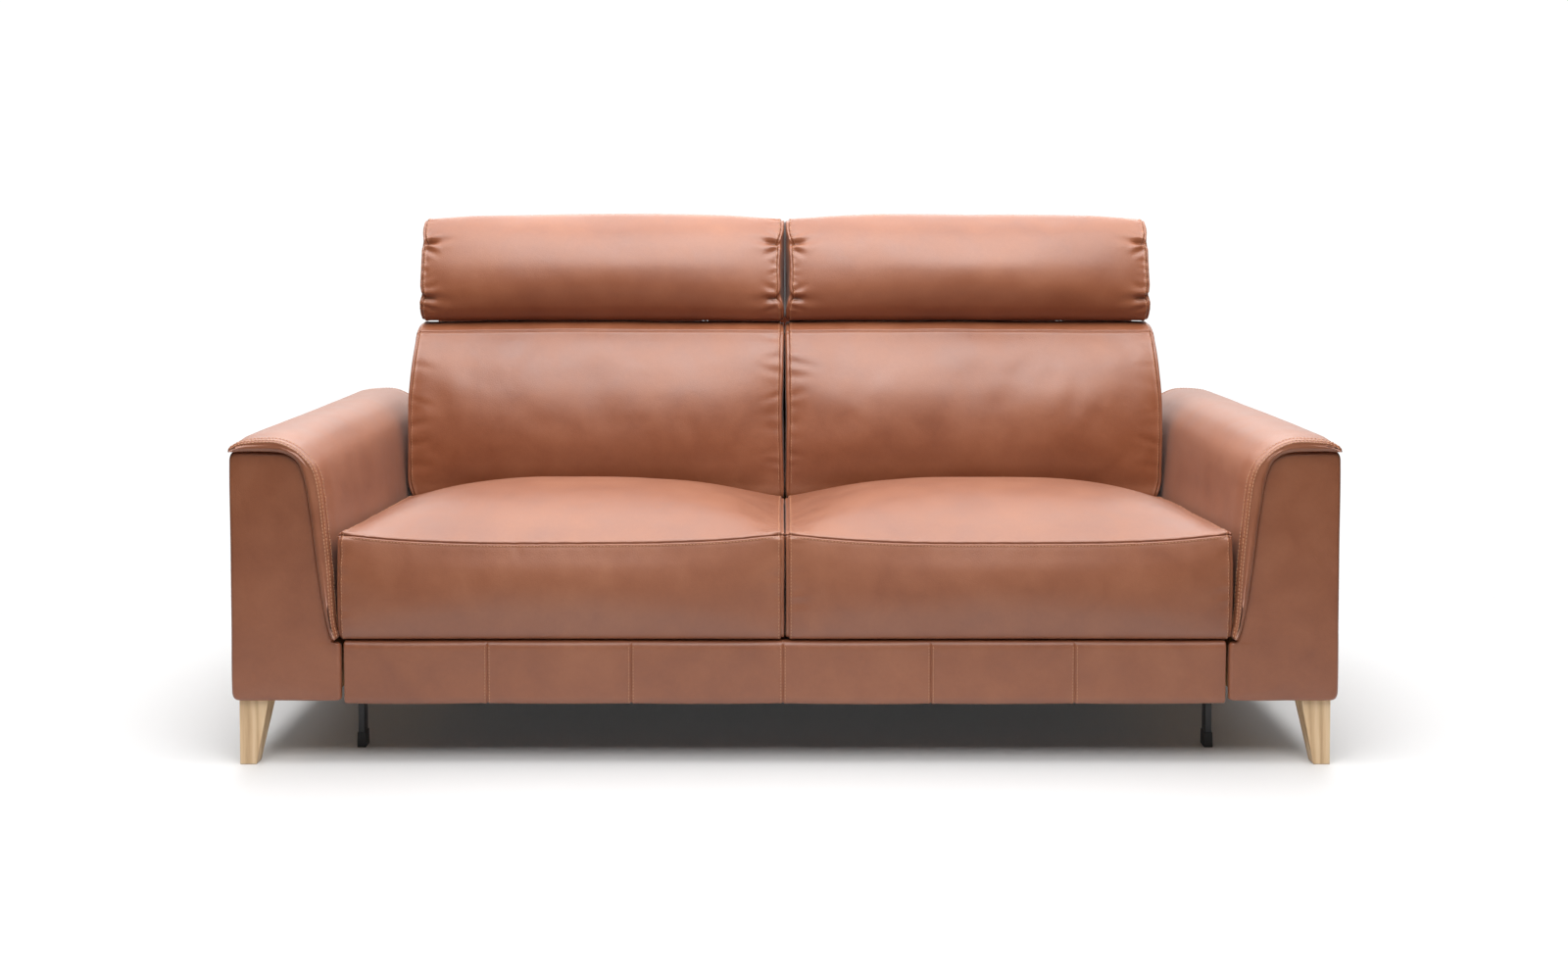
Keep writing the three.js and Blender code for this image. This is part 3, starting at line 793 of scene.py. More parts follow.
def floor_mat():
    """Matt pale floor that fades into the white surroundings at some distance from the sofa."""
    m, nt, b = new_mat("studio_floor")
    v = coords(nt)
    n = noise_tex(nt, v, 3.0, 2.0)
    nt.links.new(ramp(nt, n, [(0.0, 0.69), (1.0, 0.71)]), b.inputs["Base Color"])
    b.inputs["Roughness"].default_value = 0.55
    b.inputs["Specular IOR Level"].default_value = 0.25
    ln = nt.nodes.new("ShaderNodeVectorMath")
    ln.operation = "LENGTH"
    nt.links.new(coords(nt, (0.86, 1.0, 0.0)), ln.inputs[0])
    mr = nt.nodes.new("ShaderNodeMapRange")
    mr.interpolation_type = "SMOOTHERSTEP"
    mr.inputs["From Min"].default_value = 1.15
    mr.inputs["From Max"].default_value = 2.3
    mr.inputs["To Min"].default_value = 1.0
    mr.inputs["To Max"].default_value = 0.0
    nt.links.new(ln.outputs["Value"], mr.inputs["Value"])
    nt.links.new(mr.outputs[0], b.inputs["Alpha"])
    return m


fl = bmesh.new()
bmesh.ops.create_circle(fl, cap_ends=True, radius=3.2, segments=96)
fme = bpy.data.meshes.new("floor")
fl.to_mesh(fme)
fl.free()
floor = bpy.data.objects.new("floor", fme)
floor.data.materials.append(floor_mat())
scene.collection.objects.link(floor)
floor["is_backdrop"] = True


# =====================================================================================
# soft pieces
# =====================================================================================
def crownf(t, p=4.0, k=0.92):
    return 1 - np.abs(t) ** p * k


def stack_ctrl(pts):
    """pts: list of (y, z) where each may be an array over t. Returns (Nt, K, 2)."""
    n = max(np.size(c) for p in pts for c in p)
    arr = np.zeros((n, len(pts), 2))
    for i, (y, z) in enumerate(pts):
        arr[:, i, 0] = y
        arr[:, i, 1] = z
    return arr


def medial_from(ctrl_fn, y0, y1, z0, z1):
    """Middle line of a fat ring, as the place that its end panels shrink towards."""
    def f(t):
        C = ctrl_fn(t)
        M = C.copy()
        M[..., 0] = np.clip(C[..., 0], y0, y1)
        f_ = (M[..., 0] - y0) / max(1e-6, (y1 - y0))
        M[..., 1] = z0 + (z1 - z0) * f_
        return M
    return f


def seat_cushion(side):
    sx = -1 if side == "left" else 1
    seed = 11 if side == "left" else 23
    a, b = 0.6, 808.0        # inner end, outer end (drawn for the right, mirrored for the left)

    def ctrl(t):
        c = crownf(t, 3.1, 1.0)
        e = np.abs(t) ** 5
        seam = 403.5 + 18.0 * np.abs(t) ** 3.2
        top = lambda lo, hi: lo + (hi - lo) * c
        fr = 5.0 * (1 - np.abs(t) ** 6)
        return stack_ctrl([
            (26.0, 228.2), (8.0 - fr * .4, 231.5), (1.5 - fr * .8, 248.0), (0.5 - fr, 305.0), (1.5 - fr, 355.0),
            (5.0 - fr * .6, seam - 22), (11.0 - fr * .2, seam), (25.0, top(seam + 3, seam + 12)), (58.0, top(420.0, 434.0)),
            (105.0, top(416.0, 452.0)), (175.0, top(412.0, 466.0)), (255.0, top(409.0, 471.0)),
            (345.0, top(406.0, 464.0)), (440.0, top(402.0, 449.0)), (520.0, top(398.0, 431.0)),
            (572.0, top(394.0, 409.0)), (589.0, 376.0), (592.0, 320.0), (590.0, 256.0), (574.0, 231.0),
            (420.0, 229.0), (220.0, 229.0)])

    loft = Loft(a, b, ctrl, medial_from(ctrl, 120.0, 480.0, 325.0, 322.0), r=12.0, cap=70.0, bulge=0.5, mirror=(sx < 0))
    v_seam = loft.v_of(6)
    e0, e1 = loft.edge(0, 0.42), loft.edge(1, 0.42)
    v_under0, v_under1 = loft.v_of(16), loft.Lv

    def pins(u, v):
        m = np.zeros((len(u), len(v)))
        du = loft.Lu / (len(u) - 1)
        m[(np.abs(u - e0) < du * 0.6) | (np.abs(u - e1) < du * 0.6) | (u < loft.U[1]) | (u > loft.U[4]), :] = 1
        dv = loft.Lv / len(v)
        m[:, (np.abs(v - v_seam) < dv * 0.55) | (v > v_under0) | (v < loft.v_of(1))] = 1
        return m

    uc, vc, D = swell(lambda u, v: loft.points(u, v), loft, pins, step=11.0, pressure=3.2, cap=9.0, name="seat_swell", shrink=-0.002, calm=4)
    u = graded(loft.Lu, 7.0, [e0, e1], 1.2, 5, 18)
    v = graded(loft.Lv, 6.5, [v_seam], 0.8, 6, 14, closed=True, coarse=[(v_under0, v_under1, 22.0)])
    P = loft.points(u, v)
    P = P + carry(D, uc, vc, u, v, loft.Lv)
    # long soft dents of a filled leather cushion
    N = outward(P)
    vis = smoothstep((v - loft.v_of(1)) / 40.0) * smoothstep((v_under0 - v) / 60.0)
    f = (1.5 * noise2(u, v, 150, 130, seed, loft.Lv) + 0.75 * noise2(u, v, 62, 48, seed + 1, loft.Lv)) * vis[None, :]
    dv = v - v_seam
    du0, du1 = u - e0, u - e1
    f += (seam_profile(dv, 2.6, 1.5, 0.0) + 1.1 * gauss(dv + 3.4, 2.0) + 0.7 * gauss(dv - 4.5, 3.5))[None, :]
    ends = seam_profile(du0, 2.2, 1.5, 0.8) + seam_profile(du1, 2.2, 1.5, 0.8)
    f += ends[:, None]
    st = []
    st += puckers(seed + 3, "u", v_seam, (loft.U[2], loft.U[3]), 1, (26, 70), (18, 52), (4, 8), (0.25, 0.8))
    st += puckers(seed + 4, "u", v_seam, (loft.U[2], loft.U[3]), -1, (26, 70), (18, 60), (4, 8), (0.2, 0.7))
    for e, sg in ((e0, 1), (e1, -1)):
        st += puckers(seed + 5 + sg, "v", e, (loft.v_of(1), loft.v_of(15)), sg, (16, 38), (16, 58), (3.5, 7), (0.5, 1.5))
        # darts at the two front corners of the sewn seam
        st += [(e, v_seam - 4, sg, 0.25, 46, 4.5, 1.8), (e, v_seam - 30, sg, -0.2, 34, 5, 1.2),
               (e, v_seam + 16, sg, 0.5, 40, 5, 1.2)]
    f += stroke_field(u, v, st, loft.Lv)
    P = P + N * f[..., None]
    ob = loft_mesh(f"seat_cushion_leather_{side}", P, LEATHER)
    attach(ob, "sofa_body")
    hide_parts(f"seat_cushion_{side}")
    N2 = outward(P)
    pu = np.linspace(loft.U[2] + 4, loft.U[3] - 4, 400)
    paths = [grid_path(P, N2, u, v, pu, np.full_like(pu, v_seam - 5.5), loft.Lv)]
    stitches_object(f"seat_stitches_{side}", paths, "sofa_body", pitch=6.0, length=4.2, radius=0.5, lift=0.1)
    vr = np.linspace(loft.v_of(1), loft.v_of(15), 500)
    side_paths = [grid_path(P, N2, u, v, np.full_like(vr, e + k), vr, loft.Lv) for e, k in ((e0, 6.0), (e1, -6.0))]
    stitches_object(f"seat_side_stitches_{side}", side_paths, "sofa_body", pitch=6.0, length=4.2, radius=0.5, lift=0.1)
    return ob


def back_cushion(side):
    sx = -1 if side == "left" else 1
    seed = 41 if side == "left" else 57
    a, b = 0.5, 818.0

    def ctrl(t):
        c = crownf(t, 3.2, 1.0)
        f = lambda e, m: e + (m - e) * c
        return stack_ctrl([
            (640.0, 372.0), (612.0, 384.0), (f(611.0, 608.0), 418.0), (f(610.0, 597.0), 462.0), (f(611.0, 587.0), 512.0),
            (f(616.0, 589.0), 562.0), (f(623.0, 600.0), 608.0), (f(634.0, 619.0), 652.0), (f(648.0, 640.0), 692.0),
            (f(668.0, 664.0), f(725.0, 727.0)), (f(692.0, 690.0), f(750.0, 753.0)), (727.0, f(760.6, 762.2)), (766.0, 757.0), (782.0, 738.0),
            (794.0, 705.0), (822.0, 693.0), (832.0, 670.0), (833.0, 560.0), (832.0, 420.0), (820.0, 380.0), (760.0, 370.0), (700.0, 368.0)])

    loft = Loft(a, b, ctrl, medial_from(ctrl, 700.0, 745.0, 560.0, 560.0), r=13.0, cap=62.0, bulge=1.5, mirror=(sx < 0))
    e0, e1 = loft.edge(0, 0.35), loft.edge(1, 0.35)
    v_back = loft.v_of(13)
    v_top = loft.v_of(9.6)

    def taper(u, v, ring):
        # the outer end draws in towards the top, and both ends pinch a little at mid height
        z = ring[..., 1]
        x, _ = loft.section(u)
        w1 = smoothstep((x - (b - 260)) / 250.0)[:, None]
        w0 = smoothstep(((a + 90) - x) / 90.0)[:, None]
        tz = smoothstep((z - 560.0) / 200.0)
        low = smoothstep((430.0 - z) / 60.0)
        return -w1 * (6.0 * tz + 13.0 * low) + w0 * 1.6 * np.sin(np.pi * np.clip((z - 400) / 350, 0, 1))

    def pins(u, v):
        m = np.zeros((len(u), len(v)))
        du, dv = loft.Lu / (len(u) - 1), loft.Lv / len(v)
        m[(np.abs(u - e0) < du * 0.6) | (np.abs(u - e1) < du * 0.6) | (u < loft.U[1]) | (u > loft.U[4]), :] = 1
        m[:, (np.abs(v - v_top) < dv * 0.55) | (v > v_back) | (v < loft.v_of(1.5))] = 1
        return m

    uc, vc, D = swell(lambda u, v: loft.points(u, v, taper), loft, pins, step=11.0, pressure=3.2, cap=10.0, name="back_swell", shrink=-0.005, calm=10)
    u = graded(loft.Lu, 7.0, [e0, e1], 1.2, 5, 18)
    v = graded(loft.Lv, 6.5, [v_top], 1.0, 5, 14, closed=True, coarse=[(v_back + 20, loft.Lv - 20, 24.0)])
    P = loft.points(u, v, taper) + carry(D, uc, vc, u, v, loft.Lv)
    N = outward(P)
    vis = smoothstep((v - loft.v_of(1)) / 30.0) * smoothstep((v_back - v) / 60.0)
    f = (2.6 * noise2(u, v, 170, 120, seed, loft.Lv) + 1.4 * noise2(u, v, 70, 52, seed + 1, loft.Lv)) * vis[None, :]
    f += seam_profile(v - v_top, 1.8, 1.6, 0.6)[None, :]
    f += (seam_profile(u - e0, 2.2, 1.6, 0.9) + seam_profile(u - e1, 2.2, 1.6, 0.9))[:, None]
    st = []
    for e, sg in ((e0, 1), (e1, -1)):
        st += puckers(seed + 5 + sg, "v", e, (loft.v_of(2), loft.v_of(9)), sg, (22, 52), (24, 90), (5, 10), (0.5, 1.7))
    r = rng_of(seed + 9)
    for _ in range(11):     # longer loose folds, mostly towards the outer end and low in the middle
        uu = loft.U[2] + 40 + (loft.U[3] - loft.U[2] - 80) * (1 - r.uniform(0.0, 1.0) ** 1.8)
        v0 = r.uniform(loft.v_of(2.5), loft.v_of(8))
        ang = r.uniform(0.5, 1.3) * (1 if uu > loft.Lu * 0.5 else -1)
        st.append((uu, v0, math.cos(ang) * (1 if r.random() > .5 else -1), math.sin(ang), r.uniform(90, 190), r.uniform(17, 29), r.uniform(0.5, 1.15)))
    for k in (0.36, 0.5, 0.62):   # small gathers at the middle of the top edge
        uu = loft.Lu * k
        st.append((uu, v_top, 0.1, -1, 40, 6, 0.4))
    f += stroke_field(u, v, st, loft.Lv)
    P = P + N * f[..., None]
    P[..., 2] = np.minimum(P[..., 2], 762.9)     # stays clear of the headrest above it
    ob = loft_mesh(f"back_cushion_leather_{side}", P, LEATHER)
    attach(ob, "sofa_body")
    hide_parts(f"back_cushion_{side}")
    N2 = outward(P)
    vr = np.linspace(loft.v_of(2), loft.v_of(12), 500)
    paths = [grid_path(P, N2, u, v, np.full_like(vr, e + k), vr, loft.Lv) for e, k in ((e0, 5.5), (e1, -5.5))]
    stitches_object(f"back_stitches_{side}", paths, "sofa_body", pitch=6.0, length=4.2, radius=0.5, lift=0.1)
    return ob


def headrest(side):
    sx = -1 if side == "left" else 1
    seed = 71 if side == "left" else 89
    a, b = 0.4, 805.0

    def ctrl(t):
        c = crownf(t, 3.0, 1.0)
        f = lambda e, m: e + (m - e) * c
        return stack_ctrl([
            (724.0, 764.0), (f(708.0, 706.0), 766.0), (f(694.0, 687.0), 775.0), (f(682.0, 668.0), 797.0), (f(678.0, 657.0), 834.0),
            (f(685.0, 661.0), 878.0), (f(699.0, 677.0), 918.0), (f(716.0, 700.0), f(952.0, 956.0)), (f(733.0, 724.0), f(975.0, 984.0)),
            (f(750.0, 748.0), f(986.0, 1000.5)), (f(766.0, 770.0), f(986.0, 1001.0)), (f(781.0, 790.0), f(974.0, 985.0)),
            (f(792.0, 802.0), f(948.0, 955.0)), (f(798.0, 807.0), 900.0), (f(800.0, 806.0), 840.0), (f(799.0, 803.0), 796.0),
            (793.0, 770.0), (770.0, 765.0), (735.0, 764.0)])

    loft = Loft(a, b, ctrl, medial_from(ctrl, 728.0, 745.0, 870.0, 872.0), r=11.0, cap=42.0, bulge=1.2, mirror=(sx < 0))
    e0, e1 = loft.edge(0, 0.30), loft.edge(1, 0.30)
    v_hi, v_lo = loft.v_of(6.5), loft.v_of(3.5)        # the two gathered tucks at each end
    v_topseam = loft.v_of(10.2)

    def pull(u, v, ring):
        z = ring[..., 1]
        y = ring[..., 0]
        x, _ = loft.section(u)
        w0 = smoothstep(((a + 70) - x) / 70.0)[:, None]
        w1 = smoothstep((x - (b - 70)) / 70.0)[:, None]
        front = smoothstep((760.0 - y) / 60.0)
        waist = np.clip((z - 790) / (968 - 790), 0, 1)
        waist = np.sin(np.pi * waist) ** 0.8
        pin = gauss(z - 941.0, 13.0) + gauss(z - 824.0, 13.0)
        s0 = (8.0 * waist + 4.0 * pin) * front
        s1 = (2.5 * waist + 4.0 * pin) * front
        return w0 * s0 - w1 * s1

    def pins(u, v):
        m = np.zeros((len(u), len(v)))
        du, dv = loft.Lu / (len(u) - 1), loft.Lv / len(v)
        m[(np.abs(u - e0) < du * 0.6) | (np.abs(u - e1) < du * 0.6) | (u < loft.U[1]) | (u > loft.U[4]), :] = 1
        m[:, (np.abs(v - v_topseam) < dv * 0.55) | (v > loft.v_of(15)) | (v < loft.v_of(0.8))] = 1
        return m

    uc, vc, D = swell(lambda u, v: loft.points(u, v, pull), loft, pins, step=10.0, pressure=3.2, cap=7.0, name="head_swell", shrink=-0.003, calm=5)
    u = graded(loft.Lu, 6.5, [e0, e1], 1.1, 6, 20)
    v = graded(loft.Lv, 5.5, [v_topseam], 1.0, 5, 12, closed=True, coarse=[(loft.v_of(16), loft.Lv - 5, 16.0)])
    P = loft.points(u, v, pull) + carry(D, uc, vc, u, v, loft.Lv)
    N = outward(P)
    vis = smoothstep((v - loft.v_of(0.5)) / 20.0) * smoothstep((loft.v_of(16) - v) / 30.0)
    f = (1.5 * noise2(u, v, 140, 80, seed, loft.Lv) + 0.9 * noise2(u, v, 55, 40, seed + 1, loft.Lv)) * vis[None, :]
    f += seam_profile(v - v_topseam, 1.6, 1.5, 0.5)[None, :]
    f += (seam_profile(u - e0, 2.2, 1.6, 1.0) + seam_profile(u - e1, 2.2, 1.6, 1.0))[:, None]
    st = []
    for e, sg in ((e0, 1), (e1, -1)):
        for vt, tl in ((v_hi, 0.10), (v_lo, -0.05)):
            st += [(e - sg * 4, vt, sg, tl, 46, 6.5, 9.5), (e - sg * 2, vt, sg, tl * 1.5, 92, 9.0, 3.2),
                   (e, vt + 14, sg, 0.5, 50, 6.0, 3.2), (e, vt - 14, sg, -0.5, 52, 6.0, 3.4),
                   (e - sg * 2, vt, -sg, 0.2, 26, 5.5, 4.4), (e - sg * 2, vt + 9, -sg, -0.4, 20, 5.0, 2.4)]
        st += puckers(seed + 5 + sg, "v", e, (loft.v_of(1), loft.v_of(9)), sg, (11, 24), (14, 44), (3.2, 5.5), (0.8, 2.1))
        st += puckers(seed + 15 + sg, "v", e, (loft.v_of(1), loft.v_of(9)), -sg, (12, 26), (10, 22), (3.0, 5.0), (0.5, 1.2))
    f += stroke_field(u, v, st, loft.Lv)
    cap_u = smoothstep((u - (e0 - 8)) / 8.0) * smoothstep(((e1 + 8) - u) / 8.0)
    f = f * (0.25 + 0.75 * cap_u)[:, None]
    P = P + N * f[..., None]
    P[..., 2] = np.maximum(P[..., 2], 763.6)
    ax = np.abs(P[..., 0])
    meet = smoothstep((P[..., 1] - 758.0) / 14.0) * smoothstep((8.0 - ax) / 4.0)
    P[..., 0] = np.sign(P[..., 0]) * (ax * (1 - meet) + 0.15 * meet)
    P[..., 0] = np.sign(P[..., 0]) * np.maximum(np.abs(P[..., 0]), 0.15)
    ob = loft_mesh(f"headrest_leather_{side}", P, LEATHER)
    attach(ob, f"headrest_{side}")
    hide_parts(f"headrest_cushion_{side}")
    N2 = outward(P)
    vr = np.linspace(loft.v_of(0.8), loft.v_of(14), 500)
    paths = [grid_path(P, N2, u, v, np.full_like(vr, e + k), vr, loft.Lv)
             for e, k in ((e0, 5.0), (e1, -5.0), (e1, 4.5))]     # no row on the inner faces, they meet
    stitches_object(f"headrest_stitches_{side}", paths, f"headrest_{side}", pitch=5.5, length=4.0, radius=0.5, lift=0.1)
    return ob


# ---------------------------------------------------------------- arms
PAD_OUT = [(999.6, 571.5), (996.0, 581.0), (982.0, 590.0), (959.0, 594.0), (926.0, 595.6), (903.0, 592.8), (877.0, 581.0),
           (859.0, 566.0), (843.5, 547.0), (834.5, 522.0), (829.0, 488.0), (824.5, 443.0), (820.0, 400.0), (816.0, 355.0),
           (813.5, 310.0), (810.0, 262.0), (806.0, 236.0)]
PAD_IN = [(812.0, 229.8), (818.2, 236.0), (828.4, 277.0), (837.6, 335.0), (846.0, 403.0), (850.2, 440.0), (855.4, 476.0), (861.0, 512.0),
          (867.6, 536.0), (876.0, 554.0), (894.0, 566.6), (914.0, 570.6), (940.0, 571.4), (975.0, 571.6), (990.0, 570.6)]


def nearest_on(poly, p):
    best, q = 1e9, None
    for (ax, az), (bx, bz) in zip(poly[:-1], poly[1:]):
        dx, dz = bx - ax, bz - az
        t = max(0, min(1, ((p[0] - ax) * dx + (p[1] - az) * dz) / (dx * dx + dz * dz)))
        c = (ax + t * dx, az + t * dz)
        d = math.hypot(c[0] - p[0], c[1] - p[1])
        if d < best:
            best, q = d, c
    return q


def arm_pad(side):
    sx = -1 if side == "left" else 1
    seed = 101 if side == "left" else 113
    ring = np.array(PAD_OUT + PAD_IN)
    med = np.array([((p[0] + q[0]) / 2, (p[1] + q[1]) / 2) for p, q in
                    [(p, nearest_on(PAD_IN, p)) for p in PAD_OUT] + [(p, nearest_on(PAD_OUT, p)) for p in PAD_IN]])

    def ctrl(t):
        return np.repeat(ring[None], np.size(t), axis=0)

    def medial(t):
        return np.repeat(med[None], np.size(t), axis=0)

    loft = Loft(-9.5, 929.0, ctrl, medial, r=9.0, cap=10.6, bulge=0.0, axis="y", mirror=(sx < 0))
    vA, vB = loft.v_of(0.5), loft.v_of(16)
    ue0, ue1 = loft.U[1], loft.U[4]
    marks = [ue0, ue0 + 8, loft.U[2] + 9.0, ue1, loft.U[3] - 9.0]
    u = graded(loft.Lu, 9.0, marks, 1.2, 5, 16)
    v = graded(loft.Lv, 6.0, [], closed=True, coarse=[(loft.v_of(18), loft.v_of(31), 11.0)])
    P = loft.points(u, v)
    N = outward(P)
    yv = P[..., 1]
    out_side = smoothstep((v - vA) / 18.0) * smoothstep((vB - v) / 25.0)
    inner = smoothstep((v - loft.v_of(7)) / 60.0) * out_side
    f = np.zeros(P.shape[:2])
    # the wadding fills out behind the sewn front edge
    fill = smoothstep((yv - 6) / 60.0) * smoothstep((925 - yv) / 60.0)
    f += (fill - 0.55) * 4.4 * out_side[None, :] * (1 - 0.25 * inner[None, :])
    f += (1.1 * noise2(u, v, 170, 110, seed, loft.Lv) + 0.5 * noise2(u, v, 62, 50, seed + 1, loft.Lv)) * out_side[None, :] * fill
    # sewn line round the edge, set back from the front
    for us in (loft.U[2] + 9.0, loft.U[3] - 9.0):
        f += (seam_profile(u - us, 2.3, 1.7, 0.9))[:, None] * out_side[None, :]
    st = puckers(seed + 3, "v", loft.U[2] + 9.0, (loft.v_of(5), loft.v_of(14)), 1, (30, 70), (25, 80), (6, 11), (0.3, 0.8))
    f += stroke_field(u, v, st, loft.Lv)
    P = P + N * f[..., None]
    ob = loft_mesh(f"arm_pad_leather_{side}", P, LEATHER)
    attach(ob, "sofa_body")
    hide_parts(f"arm_pad_{side}")
    N2 = outward(P)
    vr = np.linspace(loft.v_of(1.0), loft.v_of(16), 700)
    paths = []
    for us in (ue0 + 4.0, ue0 + 10.5, loft.U[2] + 14.0, ue1 - 4.0, loft.U[3] - 14.0):
        paths.append(grid_path(P, N2, u, v, np.full_like(vr, us), vr, loft.Lv))
    stitches_object(f"arm_pad_stitches_{side}", paths, "sofa_body", pitch=6.5, length=4.6, radius=0.75, lift=0.25)
    return ob


FRONT_OUT = [(801.5, 126.0), (801.5, 214.0), (804.0, 222.3), (815.0, 227.0), (826.0, 276.0), (836.0, 335.0), (844.6, 402.0), (849.0, 440.0),
             (853.8, 476.0), (859.5, 513.0), (866.0, 536.8), (874.8, 555.2), (893.6, 567.3), (914.0, 569.6), (940.0, 570.4), (986.0, 570.8),
             (996.0, 568.0), (1000.0, 556.0), (1000.0, 400.0), (1000.0, 260.0), (1000.0, 134.0), (996.0, 122.0), (986.0, 118.3), (900.0, 118.0), (809.0, 118.3), (803.0, 120.5)]


def ring_panel(name, pts, lo, hi, axis, r, cap, bulge, mirror, medial_xz, seam_at=None, seed=1, step=12.0, body="sofa_body", amp=0.5):
    ring = np.array(pts)
    (mx0, mz0), (mx1, mz1) = medial_xz
    med = ring.copy()
    # shrink towards a straight middle line
    d = np.array([mx1 - mx0, mz1 - mz0])
    L2 = float(d @ d) + 1e-9
    t = np.clip(((ring - [mx0, mz0]) @ d) / L2, 0, 1)
    med = np.array([mx0, mz0]) + t[:, None] * d
    rep = lambda arr: (lambda tt: np.repeat(arr[None], np.size(tt), axis=0))
    loft = Loft(lo, hi, rep(ring), rep(med), r=r, cap=cap, bulge=bulge, axis=axis, mirror=mirror)
    u = graded(loft.Lu, 8.0, [loft.U[1], loft.U[4]], 1.6, 3, 14)
    v = graded(loft.Lv, step, [loft.v_of(k) for k in range(len(pts))], 2.5, 6, 16, closed=True)
    P = loft.points(u, v)
    N = outward(P)
    f = amp * noise2(u, v, 45, 70, seed, loft.Lv)
    _, ins = loft.section(u)
    f = f * smoothstep((ins - r) / 25.0)[:, None]
    return loft, u, v, P, N, f


def arm_cover(side):
    sx = -1 if side == "left" else 1
    seed = 131 if side == "left" else 149
    obs = []
    # front and rear faces
    for tag, lo, hi in (("front", 0.0, 20.0), ("rear", 910.0, 930.0)):
        pts = FRONT_OUT
        loft, u, v, P, N, f = ring_panel(tag, pts, lo, hi, "y", 8.0, 46.0, 1.2, sx < 0, ((930.0, 180.0), (932.0, 500.0)), seed=seed + len(tag))
        P = P + N * f[..., None]
        obs.append((P, tag))
    # outside panel, between the two
    pts = [(23.5, 119.5), (450.0, 118.6), (906.5, 119.5), (909.0, 124.0), (909.0, 340.0), (909.0, 564.0), (906.5, 569.5),
           (450.0, 570.4), (23.5, 569.5), (21.0, 564.0), (21.0, 340.0), (21.0, 124.0)]
    loft, u, v, P, N, f = ring_panel("outer", pts, 987.5, 1000.0, "x", 4.0, 60.0, 1.6, sx < 0, ((230.0, 345.0), (700.0, 345.0)), seed=seed + 7, amp=0.4)
    P = P + N * f[..., None]
    obs.append((P, "outside"))
    verts, faces, base = [], [], 0
    for P, tag in obs:
        n, m = P.shape[:2]
        idx = np.arange(n * m).reshape(n, m) + base
        a, b = idx[:-1], idx[1:]
        faces += np.stack([a, np.roll(a, -1, 1), np.roll(b, -1, 1), b], -1).reshape(-1, 4).tolist()
        faces += [list(reversed(idx[0].tolist())), idx[-1].tolist()]
        verts.append(P.reshape(-1, 3))
        base += n * m
    ob = make_object(f"arm_cover_leather_{side}", to_row(np.concatenate(verts)), faces, LEATHER)
    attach(ob, "sofa_body")
    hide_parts(f"arm_cover_{side}")
    # topstitch beside the two upright seams on the outside
    z = np.linspace(130, 562, 300)
    paths = []
    for y in (14.5, 26.5, 903.5, 915.5):
        pts = np.stack([np.full_like(z, sx * 1000.4), np.full_like(z, y), z], 1)
        paths.append((pts, np.tile([sx, 0.0, 0.0], (len(z), 1))))
    stitches_object(f"arm_cover_stitches_{side}", paths, "sofa_body", pitch=6.0, length=4.3, radius=0.55, lift=0.0)
    return ob


# ---------------------------------------------------------------- front rail cover
SEAMS_X = [-538.0, -278.0, -3.5, 264.0, 524.0]


